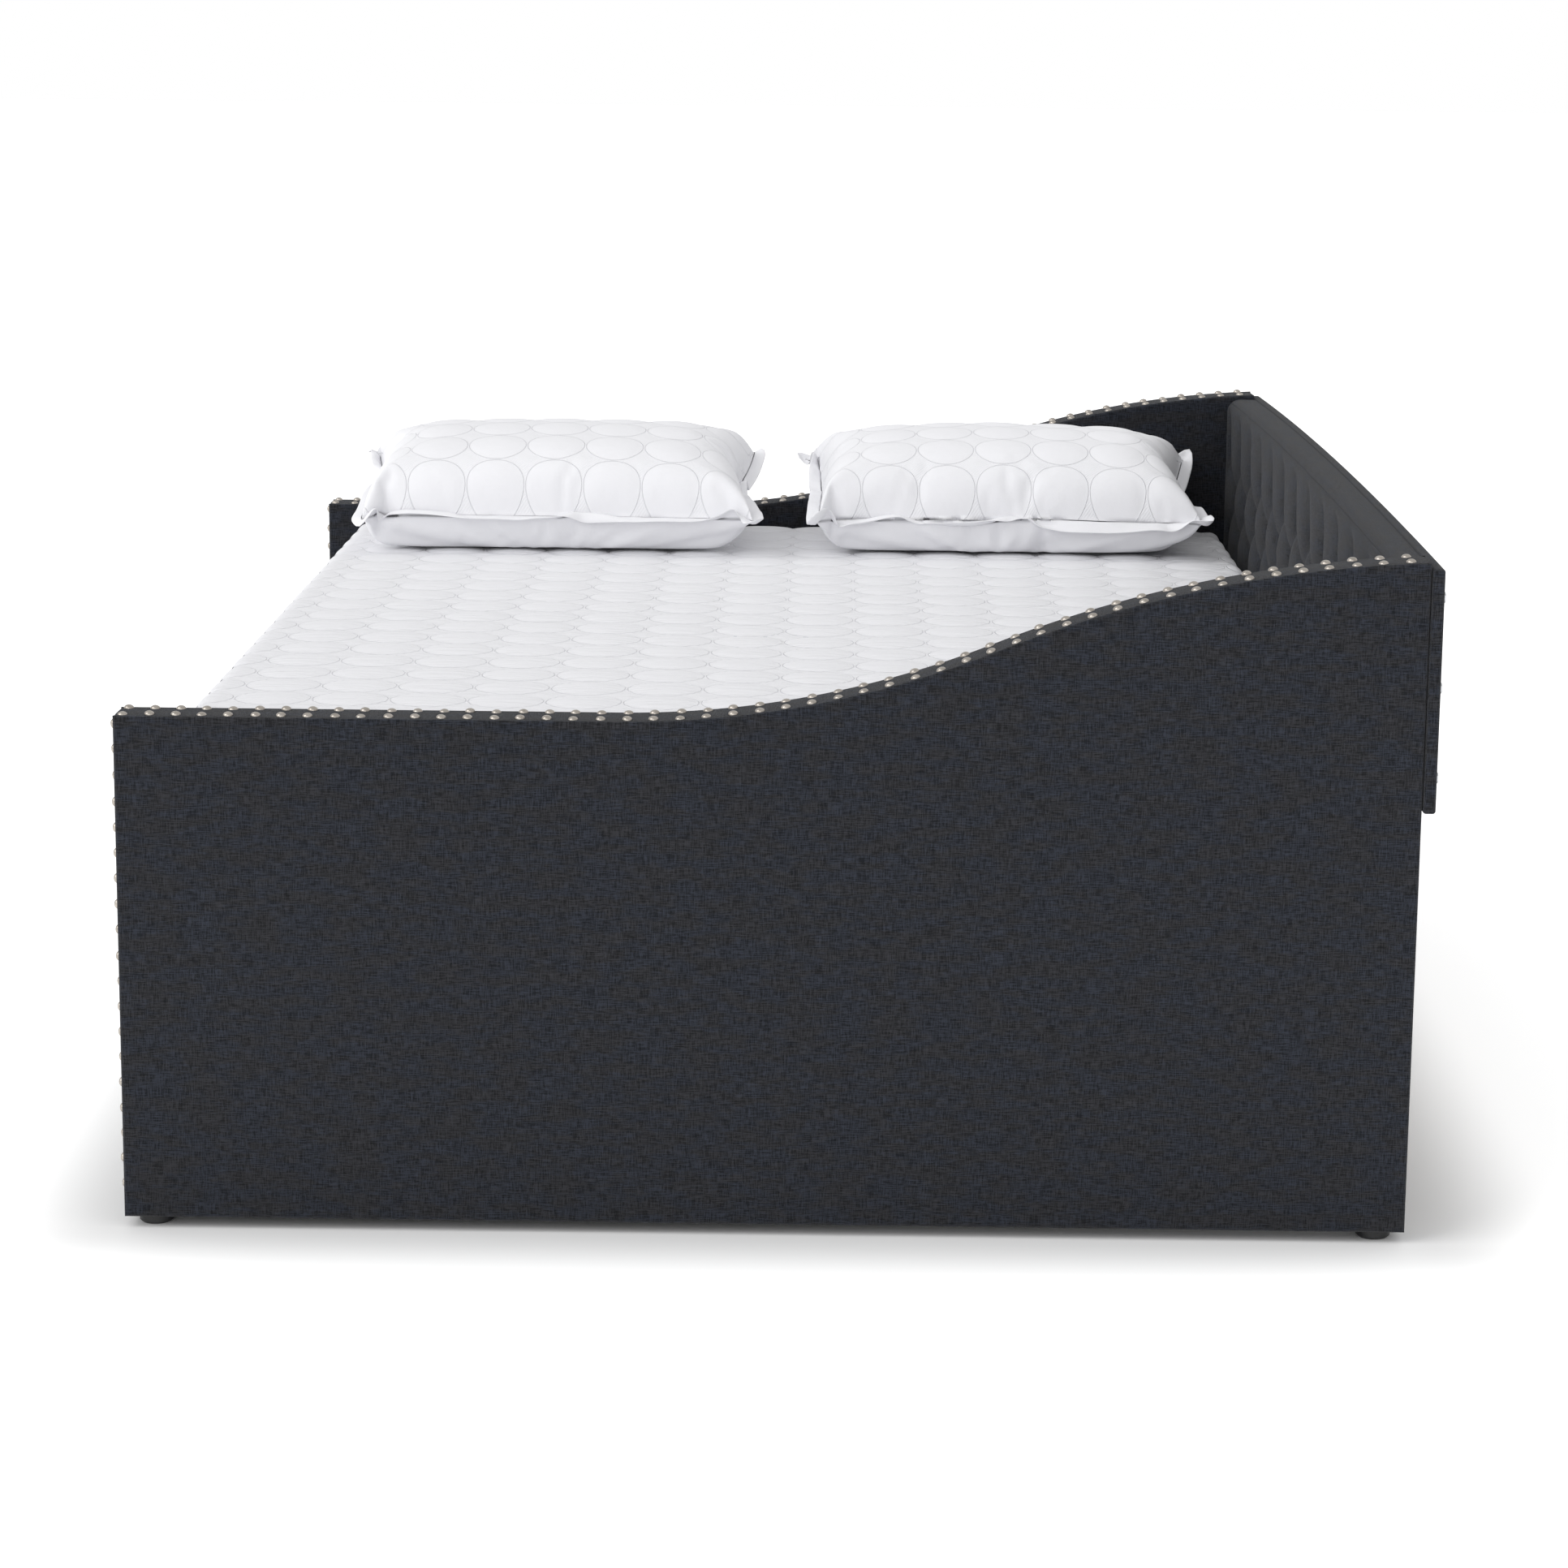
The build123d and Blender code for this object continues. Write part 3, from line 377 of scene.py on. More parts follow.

# %% [markdown]
# Webbing is woven in a herringbone. A sine wave along the strap makes the ribs, and a second one across
# it pushes them to and fro, so they zigzag. The ribs are relief, with painted shade in their troughs and
# a painted highlight on their crests.

# %% Webbing
def strap_cloth():
    """Black polypropylene webbing with a herringbone rib; painted shade in its troughs, painted highlight
    on its crests.
    """
    f = Finish("black_webbing", (0.02, 0.02, 0.021), 0.7, sheen_weight=0.1)
    cloth = f.cloth()
    across, along = f.part(cloth, 1), f.part(cloth, 0)
    zigzag = (across * 520.0).maths("SINE") * 2.0
    rib = (along * 2400.0 + zigzag).maths("SINE") * 0.5 + 0.5
    # painted shade and highlight: the rib's troughs are coloured darker and its crests lighter, following
    # the relief
    f.colour(f.mix(rib, (0.012, 0.012, 0.013), (0.045, 0.045, 0.048)))
    f.relief(rib, 0.0007)
    return f.material


WEBBING = strap_cloth()
print("made", WEBBING.name)

# %% [markdown]
# ## Floor
# The bed stands on a white sweep that runs out to the horizon. Seen at a low angle, paper alone would
# turn grey towards the distance, so it also glows. The glow stops short of the bed, or it would light
# the parts underneath.

# %% Floor
FLOOR_HALF = 400.0
GLOW = 0.45
GLOW_STARTS_WITHIN = 0.22  # metres from the bed's outline


def floor_paper():
    """Pale paper, lit from below as on a light table, but dark under the bed."""
    f = Finish("floor_paper", (0.96, 0.96, 0.96), 0.9, emission_strength=GLOW)
    place = f.place()
    mottle = f.noise(place, 2.0, 2.0)
    f.colour(f.mix(mottle * 0.2, (0.97, 0.97, 0.97), (0.95, 0.95, 0.95)))
    beyond = [(f.part(place, axis).size() - half).maths("MAXIMUM", 0.0)
              for axis, half in ((0, cad_high.x), (1, cad_high.y))]
    distance = (beyond[0] * beyond[0] + beyond[1] * beyond[1]).maths("SQRT")
    away = distance.step(0.0, GLOW_STARTS_WITHIN)
    glow = f.mix(away, (0.0, 0.0, 0.0), (1.0, 1.0, 1.0))
    f.tree.links.new(glow.socket, f.shader.inputs["Emission Color"])
    return f.material


bpy.ops.mesh.primitive_plane_add(size=2 * FLOOR_HALF, location=(0, 0, 0))
floor = bpy.context.object
floor.name = "floor"
floor.data.materials.append(floor_paper())
floor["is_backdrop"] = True
print("materials", len(bpy.data.materials))

# %% [markdown]
# ## Meshes from patches
# Upholstery is cut from flat panels that meet at seams, and so are the meshes here. A patch is a grid of
# points with a grid of cloth coordinates in metres. stitch() joins patches where their points meet,
# which closes the shape, and keeps each panel's own cloth coordinates.

# %% Patches
def stitch(name, patches, material, weld=1e-5):
    """One mesh from patches; each is (points[rows, columns, 3], cloth[rows, columns, 2])."""
    points, cloth, quads, offset = [], [], [], 0
    for grid, uv in patches:
        rows, columns = grid.shape[:2]
        index = offset + np.arange(rows * columns).reshape(rows, columns)
        corners = (index[:-1, :-1], index[:-1, 1:], index[1:, 1:], index[1:, :-1])
        quads.append(np.stack([c.ravel() for c in corners], axis=1))
        points.append(grid.reshape(-1, 3))
        cloth.append(uv.reshape(-1, 2))
        offset += rows * columns
    points, cloth, quads = np.concatenate(points), np.concatenate(cloth), np.concatenate(quads)
    _, first, merged = np.unique(np.round(points / weld).astype(np.int64), axis=0,
                                 return_index=True, return_inverse=True)
    merged = merged.ravel()
    faces = merged[quads]
    whole = np.array([len(set(face)) == 4 for face in faces.tolist()])
    mesh = bpy.data.meshes.new(name)
    mesh.from_pydata(points[first].tolist(), [], faces[whole].tolist())
    layer = mesh.uv_layers.new(name="cloth")
    layer.data.foreach_set("uv", cloth[quads[whole]].astype(np.float32).ravel())
    mesh.polygons.foreach_set("use_smooth", [True] * len(mesh.polygons))
    mesh.materials.append(material)
    face_outwards(mesh)
    piece = bpy.data.objects.new(name, mesh)
    scene.collection.objects.link(piece)
    return piece


def face_outwards(mesh):
    """Turns every face of a closed mesh outwards."""
    work = bmesh.new()
    work.from_mesh(mesh)
    bmesh.ops.recalc_face_normals(work, faces=work.faces)
    work.to_mesh(mesh)
    work.free()


# %% [markdown]
# Cloth is never flat. Everywhere below, ripple() gives a smooth random surface: seven waves of different
# length run across each other in random directions. The seed fixes the directions, so a part comes out
# the same each time. The grids that it moves are fine near the edges, where cloth bends most, and coarse
# between them.

# %% Ripples and grid lines
RIPPLE_WAVES = 7


def ripple(a, b, size, seed):
    """A smooth random surface, about -1 to 1, over two coordinates, with features of about this size."""
    rng = np.random.default_rng(seed)
    total = np.zeros(np.broadcast(a, b).shape)
    for _ in range(RIPPLE_WAVES):
        angle, phase = rng.uniform(0, 2 * np.pi, 2)
        wave = 2 * np.pi / size * rng.uniform(0.45, 1.25)
        total += np.sin(wave * (a * np.cos(angle) + b * np.sin(angle)) + phase)
    return total / RIPPLE_WAVES * 1.6


def lines(low, high, edge, pitch):
    """Grid lines from low to high: close together near both ends, within edge of them, then even."""
    near = edge * np.array([0.0, 0.1, 0.25, 0.45, 0.7])
    count = max(2, int(round((high - low - 2 * edge) / pitch)) + 1)
    return np.concatenate([low + near, np.linspace(low + edge, high - edge, count), (high - near)[::-1]])


print("grid lines over 1 m", len(lines(0.0, 1.0, 0.01, 0.014)))

# %% [markdown]
# ## A padded box
# Rails, trundle panels, the back, the mattress and its protector are boxes under cloth, with rounded
# edges and faces that are never quite flat. The points of a box are pushed onto a rounded box. Then
# relief, a function that each piece brings with it, lifts or sinks every face. Two more sizes serve the
# back: its top edge arches along the bed, and a wider nose rounds that edge over to the front.

# %% Padded boxes
def round_nose(points, front, top, nose):
    """Rounds the edge between the front and the top, by this radius."""
    up = np.clip((points[..., 2] - top) / nose + 1, 0, 1)
    forward = np.clip((front - points[..., 1]) / nose + 1, 0, 1)
    shrink = np.maximum(up, forward) / np.hypot(up, forward).clip(1e-9) - 1
    both = (up > 0) & (forward > 0)
    points[..., 2] += np.where(both, up * shrink * nose, 0)
    points[..., 1] -= np.where(both, forward * shrink * nose, 0)


def padded_box(low, high, radius, pitch, arch=0.0, relief=None, open_bottom=False, nose=0.0):
    """The six patches of a rounded box, or five when its bottom is open."""
    low, high = np.array(low, float), np.array(high, float)
    grid_lines = [lines(low[i], high[i], radius, pitch) for i in range(3)]
    patches = []
    for axis in range(3):
        a, b = [i for i in range(3) if i != axis]
        for side in (0, 1):
            if open_bottom and axis == 2 and side == 0:
                continue
            first, second = np.meshgrid(grid_lines[a], grid_lines[b], indexing="ij")
            points = np.zeros((*first.shape, 3))
            points[..., a], points[..., b] = first, second
            points[..., axis] = high[axis] if side else low[axis]
            cloth = np.stack([first, second], axis=-1)
            core = np.clip(points, low + radius, high - radius)
            if open_bottom:
                core[..., 2] = np.minimum(points[..., 2], high[2] - radius)
            out = points - core
            points = core + out / np.linalg.norm(out, axis=-1, keepdims=True) * radius
            u = (first - low[a]) / (high[a] - low[a]) * 2 - 1
            v = (second - low[b]) / (high[b] - low[b]) * 2 - 1
            if relief:
                points[..., axis] += relief(axis, side, first, second, u, v) * (1 if side else -1)
            if nose:
                round_nose(points, low[1], high[2], nose)
            share = (points[..., 2] - low[2]) / (high[2] - low[2])
            points[..., 2] += arch * (1 - (points[..., 0] / high[0]) ** 2) * share
            patches.append((points, cloth))
    return patches


print("a closed box has", len(padded_box((-1, -1, -1), (1, 1, 1), 0.1, 0.2)), "patches")

# %% [markdown]
# ## Arms
# Each arm is a flat box with a top line that runs level from the front, sweeps up in a hollow arc, and
# rounds off at the back. Its two faces are panels of cloth over wadding. A separate strip, the boxing,
# goes round the edge. The panels roll over the edge and meet the boxing in a tight seam, so each surface
# ends in a small quarter round that dives into the seam. The faces are grids whose rows follow the top
# line.

# %% The arm's top line
CURVE_START = 0.633  # from the front edge to where the top starts to rise
JOIN_ALONG, JOIN_UP = 0.466, 0.441  # where the hollow meets the crown, as shares of the rise

arm_low, arm_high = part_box("right_arm_edge_band")
ARM_FRONT, ARM_REAR, ARM_FOOT = arm_low.y, arm_high.y, arm_low.z
ARM_IN, ARM_OUT = arm_low.x, arm_high.x
LOW_TOP, HIGH_TOP = 0.667, arm_high.z
rise_start = np.array([ARM_FRONT + CURVE_START, LOW_TOP])
rise_end = np.array([ARM_REAR, HIGH_TOP])
rise_join = rise_start + (rise_end - rise_start) * (JOIN_ALONG, JOIN_UP)


def arc_from(start, tangent, end):
    """Centre and signed radius of the arc that leaves start along tangent and ends at end."""
    normal = np.array([-tangent[1], tangent[0]])
    way = end - start
    radius = way @ way / (2 * (way @ normal))
    return start + normal * radius, radius


hollow_centre, hollow_radius = arc_from(rise_start, np.array([1.0, 0.0]), rise_join)
at_join = (rise_join - hollow_centre) / hollow_radius
crown_centre, crown_radius = arc_from(rise_join, np.array([-at_join[1], at_join[0]]), rise_end)


def arm_top(y):
    """Height of the arm's top at y."""
    y = np.asarray(y, float)
    hollow = hollow_centre[1] - np.sqrt(hollow_radius**2 - np.clip(y - hollow_centre[0], 0, None) ** 2)
    crown = crown_centre[1] + np.sqrt(crown_radius**2 - (y - crown_centre[0]) ** 2)
    return np.where(y < rise_start[0], LOW_TOP, np.where(y < rise_join[0], hollow, crown))


radii = [round(float(abs(r)), 3) for r in (hollow_radius, crown_radius)]
print("arm rises from", LOW_TOP, "to", round(float(arm_top(ARM_REAR)), 4), "radii", radii)

# %% [markdown]
# A face panel is a grid of columns that stand between the foot and the top line. Close to an edge its
# lines crowd together, to draw the quarter round. Past the edge they fold back under, as the tuck behind
# the seam. Two movements keep it from looking like a board: a slow one over the whole panel, and short
# puckers that die out away from the seam.

# %% Face panels of an arm
ROLL = 0.0045  # quarter round at the edge
SEAM_REACH = 0.03  # how far from a seam the cloth shows its pull
TUCK = 0.003  # how far the cloth folds back behind the seam
PANEL_INNER = 0.028  # from the edge to the evenly spaced lines


def arm_face(x_out, outwards, seed):
    """One face: a grid that ends in a rolled edge all round and a tuck behind the seam."""
    near = np.array([-0.0035, 0.0, 0.0004, 0.0011, 0.002, 0.0032, ROLL, 0.009, 0.016])
    columns = np.concatenate([ARM_FRONT + near,
                              np.linspace(ARM_FRONT + PANEL_INNER, ARM_REAR - PANEL_INNER, 110),
                              (ARM_REAR - near)[::-1]])
    y = columns[None, :]
    top = arm_top(np.clip(columns, ARM_FRONT, ARM_REAR))[None, :]
    slope = np.gradient(top[0], columns)
    lean = np.cos(np.arctan(slope))[None, :]
    low_rows = ARM_FOOT + near[:, None] + 0 * y
    high_rows = top - near[::-1, None] / lean
    share = np.linspace(0, 1, 56)[:, None]
    middle = (ARM_FOOT + PANEL_INNER) * (1 - share) + (top - PANEL_INNER) * share
    z = np.concatenate([low_rows, middle, high_rows])
    y = y + 0 * z
    gaps = [y - ARM_FRONT, ARM_REAR - y, z - ARM_FOOT, (top - z) * lean]
    inside = np.clip(np.minimum.reduce(gaps), 0, None)
    drop = np.zeros_like(z)
    for gap in gaps:
        short = np.clip(ROLL - gap, 0, ROLL)
        drop = np.maximum(drop, ROLL - np.sqrt(np.clip(ROLL**2 - short**2, 0, None)))
        drop = np.where(gap < -1e-9, ROLL + 0.002, drop)
    pull = np.exp(-inside / SEAM_REACH * 2.2) * np.clip(inside / ROLL, 0, 1)
    pucker = ripple(y, z, 0.045, seed + 1) * 0.5 + ripple(y, z, 0.11, seed + 2) * 0.5
    wave = ripple(y, z, 0.55, seed) * 0.0009 * np.clip(inside / 0.1, 0, 1) + pucker * 0.0007 * pull
    x = x_out - outwards * (drop - wave + 0.0007)
    # Where a row or column lies past the edge it is the tuck: it folds back under, on the edge's own line.
    tuck_y = np.where(y < ARM_FRONT, TUCK, 0) - np.where(y > ARM_REAR, TUCK, 0)
    fold_y = np.clip(y, ARM_FRONT, ARM_REAR) + tuck_y
    z_low = np.where(z < ARM_FOOT, ARM_FOOT + TUCK, z)
    fold_z = np.where(z > top + 1e-9, top - TUCK, z_low)
    points = np.stack([x, fold_y, fold_z], axis=-1)
    return points, np.stack([y, z], axis=-1)


print("a face panel has", arm_face(ARM_OUT, 1, 11)[0].shape[:2], "points")

# %% [markdown]
# The boxing is one strip that runs all the way round. Its path is the arm's outline with the corners
# eased, and at every step of the path the strip's own section is drawn: a dive into the seam at either
# side and a slight crown between.

# %% Boxing strip of an arm
CORNER_GAP = 0.004  # the evenly spaced steps stop this far from a corner
CORNER_EASE = 0.0012


def arm_loop(step=0.011):
    """Points round the arm's edge, with corners eased, and their outward directions."""
    ease = CORNER_EASE
    y_top = np.arange(ARM_FRONT + CORNER_GAP, ARM_REAR - CORNER_GAP, step)
    top = np.stack([y_top, arm_top(y_top)], axis=1)
    z_front = np.arange(ARM_FOOT + CORNER_GAP, LOW_TOP - CORNER_GAP, step)
    z_rear = np.arange(ARM_FOOT + CORNER_GAP, HIGH_TOP - CORNER_GAP, step)
    front = np.stack([np.full(len(z_front), ARM_FRONT), z_front], axis=1)
    rear = np.stack([np.full(len(z_rear), ARM_REAR), z_rear[::-1]], axis=1)
    y_low = np.arange(ARM_FRONT + CORNER_GAP, ARM_REAR - CORNER_GAP, step * 3)
    under = np.stack([y_low[::-1], np.full(len(y_low), ARM_FOOT)], axis=1)
    corners = [(ARM_FRONT + ease, LOW_TOP - ease), (ARM_REAR - ease, HIGH_TOP - ease),
               (ARM_REAR - ease, ARM_FOOT + ease), (ARM_FRONT + ease, ARM_FOOT + ease)]
    parts = []
    for side, corner in zip((front, top, rear, under), corners):
        parts += [side, np.array([corner])]
    loop = np.concatenate(parts)
    way = np.roll(loop, -1, axis=0) - np.roll(loop, 1, axis=0)
    way /= np.linalg.norm(way, axis=1, keepdims=True)
    return loop, np.stack([-way[:, 1], way[:, 0]], axis=1)


def arm_boxing(x_in, x_out, seed):
    """The strip between the seams: it dives into a seam at each edge and crowns a little between them."""
    loop, out = arm_loop()
    closed = np.concatenate([loop, loop[:1]])
    out = np.concatenate([out, out[:1]])
    run = np.concatenate([[0], np.cumsum(np.linalg.norm(np.diff(closed, axis=0), axis=1))])
    low, high = x_in + ROLL + 0.0002, x_out - ROLL - 0.0002
    turn_in = 0.0022
    near = turn_in * np.array([0.0, 0.2, 0.55, 1.0, 2.2])
    across = np.concatenate([low + near, np.linspace(low + 0.009, high - 0.009, 6), (high - near)[::-1]])
    gap = np.minimum(across - low, high - across)
    short = np.clip(turn_in - gap, 0, turn_in)
    dive = turn_in - np.sqrt(turn_in**2 - short**2)
    crown = 0.0005 * np.clip(gap / 0.02, 0, 1)
    x, s = np.meshgrid(across, run, indexing="ij")
    loose = np.clip(gap / 0.006, 0, 1)[:, None]
    lift = (crown - dive)[:, None] + ripple(x, s, 0.05, seed) * 0.0004 * loose
    lift = np.concatenate([lift[:1] - 0.002, lift, lift[-1:] - 0.002])
    x = np.concatenate([x[:1], x, x[-1:]])
    s = np.concatenate([s[:1], s, s[-1:]])
    y = closed[None, :, 0] + out[None, :, 0] * lift
    z = closed[None, :, 1] + out[None, :, 1] * lift
    return np.stack([x, y, z], axis=-1), np.stack([s, x], axis=-1)


print("the boxing's path has", len(arm_loop()[0]), "points")

# %% [markdown]
# An arm is then three pieces of cloth, stitched into one closed cover: the outer face, the inner face
# and the boxing. It takes the place of three plain CAD pieces.

# %% Both arms
def make_arm(side, sign):
    patches = [arm_face(ARM_OUT * sign, sign, 11 if sign > 0 else 21),
               arm_face(ARM_IN * sign, -sign, 31 if sign > 0 else 41)]
    low, high = sorted((ARM_IN * sign, ARM_OUT * sign))
    patches.append(arm_boxing(low, high, 51))
    arm = stitch(side + "_arm_upholstery", patches, CHARCOAL, weld=1e-6)
    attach(arm, "bed")
    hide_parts(*(side + "_arm_" + part for part in ("outer_pad", "inner_pad", "edge_band")))
    print(arm.name, len(arm.data.polygons), "faces")
    return arm


make_arm("right", 1)
make_arm("left", -1)

# %% [markdown]
# ## Geometry Nodes helper
# What repeats is grown by Geometry Nodes. A tree gets named inputs for its sizes. Each input is set on
# the modifier by its identifier, and the result is turned into a plain mesh, because the model keeps no
# modifier of this kind.

# %% Geometry Nodes helper
KINDS = {float: "NodeSocketFloat", int: "NodeSocketInt", "material": "NodeSocketMaterial"}


class Grower:
    """A Geometry Nodes tree in the making."""

    def __init__(self, name, sizes):
        self.tree = bpy.data.node_groups.new(name, "GeometryNodeTree")
        make = self.tree.interface.new_socket
        make("Geometry", in_out="INPUT", socket_type="NodeSocketGeometry")
        for label, value in sizes.items():
            kind = "material" if isinstance(value, bpy.types.Material) else type(value)
            make(label, in_out="INPUT", socket_type=KINDS[kind])
        make("Geometry", in_out="OUTPUT", socket_type="NodeSocketGeometry")
        self.sizes = sizes
        self.given = self.tree.nodes.new("NodeGroupInput").outputs

    def add(self, kind, inputs=None, output=0, **settings):
        """Adds a node and gives one of its outputs; sockets among the inputs are linked."""
        node = self.tree.nodes.new(kind)
        for label, value in settings.items():
            setattr(node, label, value)
        for key, value in (inputs or {}).items():
            if isinstance(value, bpy.types.NodeSocket):
                self.tree.links.new(value, node.inputs[key])
            else:
                node.inputs[key].default_value = value
        return node.outputs[output]

    def grow(self, name, base, result):
        """Ends the tree in Realize Instances and Set Material, and runs it on a base mesh."""
        real = self.add("GeometryNodeRealizeInstances", {0: result})
        shaded = self.add("GeometryNodeSetMaterial", {0: real, "Material": self.given["Material"]})
        end = self.tree.nodes.new("NodeGroupOutput")
        self.tree.links.new(shaded, end.inputs[0])
        holder = bpy.data.objects.new("holder", base)
        scene.collection.objects.link(holder)
        modifier = holder.modifiers.new("grow", "NODES")
        modifier.node_group = self.tree
        for item in self.tree.interface.items_tree:
            if item.in_out == "INPUT" and item.name in self.sizes:
                modifier[item.identifier] = self.sizes[item.name]
        seen = holder.evaluated_get(bpy.context.evaluated_depsgraph_get())
        mesh = bpy.data.meshes.new_from_object(seen)
        mesh.name = name
        bpy.data.objects.remove(holder)
        piece = bpy.data.objects.new(name, mesh)
        scene.collection.objects.link(piece)
        print(name, len(mesh.polygons), "faces")
        return piece


def points_with_directions(name, places, directions):
    """Loose points that carry the way each faces, for Geometry Nodes to read."""
    mesh = bpy.data.meshes.new(name)
    mesh.from_pydata([tuple(p) for p in places], [], [])
    facing = mesh.attributes.new("facing", "FLOAT_VECTOR", "POINT")
    facing.data.foreach_set("vector", np.array(directions, np.float32).ravel())
    return mesh


print("a tree's sizes can be", *(getattr(kind, "__name__", kind) for kind in KINDS))

# %% [markdown]
# ## Nailheads
# Two rows of domed nails run up each arm's front edge and back along its top. They are driven by hand,
# so each leans by a few degrees and sits a hair off its line. The tree puts one dome on each point,
# aligned to the way the boxing faces there.

# %% Nailheads
NAIL_PITCH = 0.0333
NAIL_CORNER = 0.011  # from the arm's front top corner to the nails on either side of it
NAIL_EDGE = 0.0145  # from a row to the edge of the boxing
NAIL_END = 0.015  # least distance from a row's last nail to the end of the boxing
NAIL_DIAMETER = 0.013
NAIL_HEIGHT = 0.0045
NAIL_LEAN = 0.07  # sideways push on a direction of length 1
NAIL_WANDER = 0.012  # metres off its line for a push of 1
NAIL_CUT = -0.0008  # the ball is cut off this far below the cloth


def nail_row(x):
    """Places and directions of one row's nails."""
    places, directions = [], []
    for z in np.arange(LOW_TOP - NAIL_CORNER, ARM_FOOT + NAIL_END, -NAIL_PITCH):
        places.append((x, ARM_FRONT, z))
        directions.append((0.0, -1.0, 0.0))
    y = np.linspace(ARM_FRONT, ARM_REAR, 4001)
    z = arm_top(y)
    run = np.concatenate([[0], np.cumsum(np.hypot(np.diff(y), np.diff(z)))])
    for s in np.arange(NAIL_CORNER, run[-1] - NAIL_END, NAIL_PITCH):
        at = np.interp(s, run, y)
        slope = float(np.interp(at, y, np.gradient(z, y)))
        places.append((x, at, float(arm_top(at))))
        directions.append((0.0, -slope / math.hypot(1, slope), 1 / math.hypot(1, slope)))
    return places, directions


def grow_nails(name, places, directions, seed):
    sizes = {"Diameter": NAIL_DIAMETER, "Height": NAIL_HEIGHT, "Cut": NAIL_CUT, "Lean": NAIL_LEAN,
             "Wander": NAIL_WANDER, "Seed": seed, "Material": PEWTER}
    g = Grower(name, sizes)
    half = g.add("ShaderNodeMath", {0: g.given["Diameter"], 1: 0.5}, operation="MULTIPLY")
    ball = g.add("GeometryNodeMeshUVSphere", {"Segments": 14, "Rings": 9, "Radius": half})
    height = g.add("ShaderNodeMath", {0: g.given["Height"], 1: half}, operation="DIVIDE")
    squeeze = g.add("ShaderNodeCombineXYZ", {0: 1.0, 1: 1.0, 2: height})
    dome = g.add("GeometryNodeTransform", {"Geometry": ball, "Scale": squeeze})
    place = g.add("GeometryNodeInputPosition")
    level = g.add("ShaderNodeSeparateXYZ", {0: place}, output=2)
    below = g.add("FunctionNodeCompare", {"A": level, "B": g.given["Cut"]}, operation="LESS_THAN",
                  data_type="FLOAT")
    dome = g.add("GeometryNodeDeleteGeometry", {"Geometry": dome, "Selection": below})
    dome = g.add("GeometryNodeSetShadeSmooth", {"Geometry": dome})
    facing = g.add("GeometryNodeInputNamedAttribute", {"Name": "facing"}, data_type="FLOAT_VECTOR")
    less = g.add("ShaderNodeMath", {0: g.given["Lean"], 1: -1.0}, operation="MULTIPLY")
    low = g.add("ShaderNodeCombineXYZ", {0: less, 1: less, 2: less})
    high = g.add("ShaderNodeCombineXYZ", {0: g.given["Lean"], 1: g.given["Lean"], 2: g.given["Lean"]})
    shake = g.add("FunctionNodeRandomValue", {"Min": low, "Max": high, "Seed": g.given["Seed"]},
                  data_type="FLOAT_VECTOR")
    leaning = g.add("ShaderNodeVectorMath", {0: facing, 1: shake}, operation="ADD")
    turned = g.add("FunctionNodeAlignRotationToVector", {"Vector": leaning}, axis="Z")
    grown = g.add("GeometryNodeInstanceOnPoints",
                  {"Points": g.given["Geometry"], "Instance": dome, "Rotation": turned})
    step = g.add("ShaderNodeVectorMath", {0: shake, "Scale": g.given["Wander"]}, operation="SCALE")
    grown = g.add("GeometryNodeTranslateInstances", {"Instances": grown, "Translation": step})
    return g.grow(name, points_with_directions(name, places, directions), grown)


for side, sign in (("right", 1), ("left", -1)):
    rows = [nail_row(x * sign) for x in (ARM_IN + NAIL_EDGE, ARM_OUT - NAIL_EDGE)]
    places = [p for row in rows for p in row[0]]
    directions = [d for row in rows for d in row[1]]
    nails = grow_nails(side + "_arm_nails", places, directions, 5 if sign > 0 else 8)
    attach(nails, "bed")
    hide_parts(side + "_arm_nailheads")
    print(side, len(places), "nails")

# %% [markdown]
# ## Tufted back
# The back's cushion is diamond tufted. Buttons pull the cloth down in staggered rows. Folds run along
# the diagonals between them, and from the top row straight pleats run up to a plain roll. Depth is
# worked out from the distance to the nearest fold and the nearest button. Two slanted coordinates count
# the folds: each is a whole number on a fold, and both are whole on a button.

# %% The tufted cushion
BACK_ARCH = 0.0125  # the top edge is this much higher in its middle
TUFT_PITCH = 0.166
TUFT_ROW_PITCH = 0.070
TUFT_DEPTH = 0.028
FOLD_DEPTH = 0.0135
TUFT_ROWS = [0.777 - TUFT_ROW_PITCH * row for row in range(3)]  # heights of the rows of buttons
PULL_WIDTH = 0.021  # how far round a button the cloth is drawn in
TOP_ROLL = 0.022

pad_low, pad_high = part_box("back_tufted_pad")


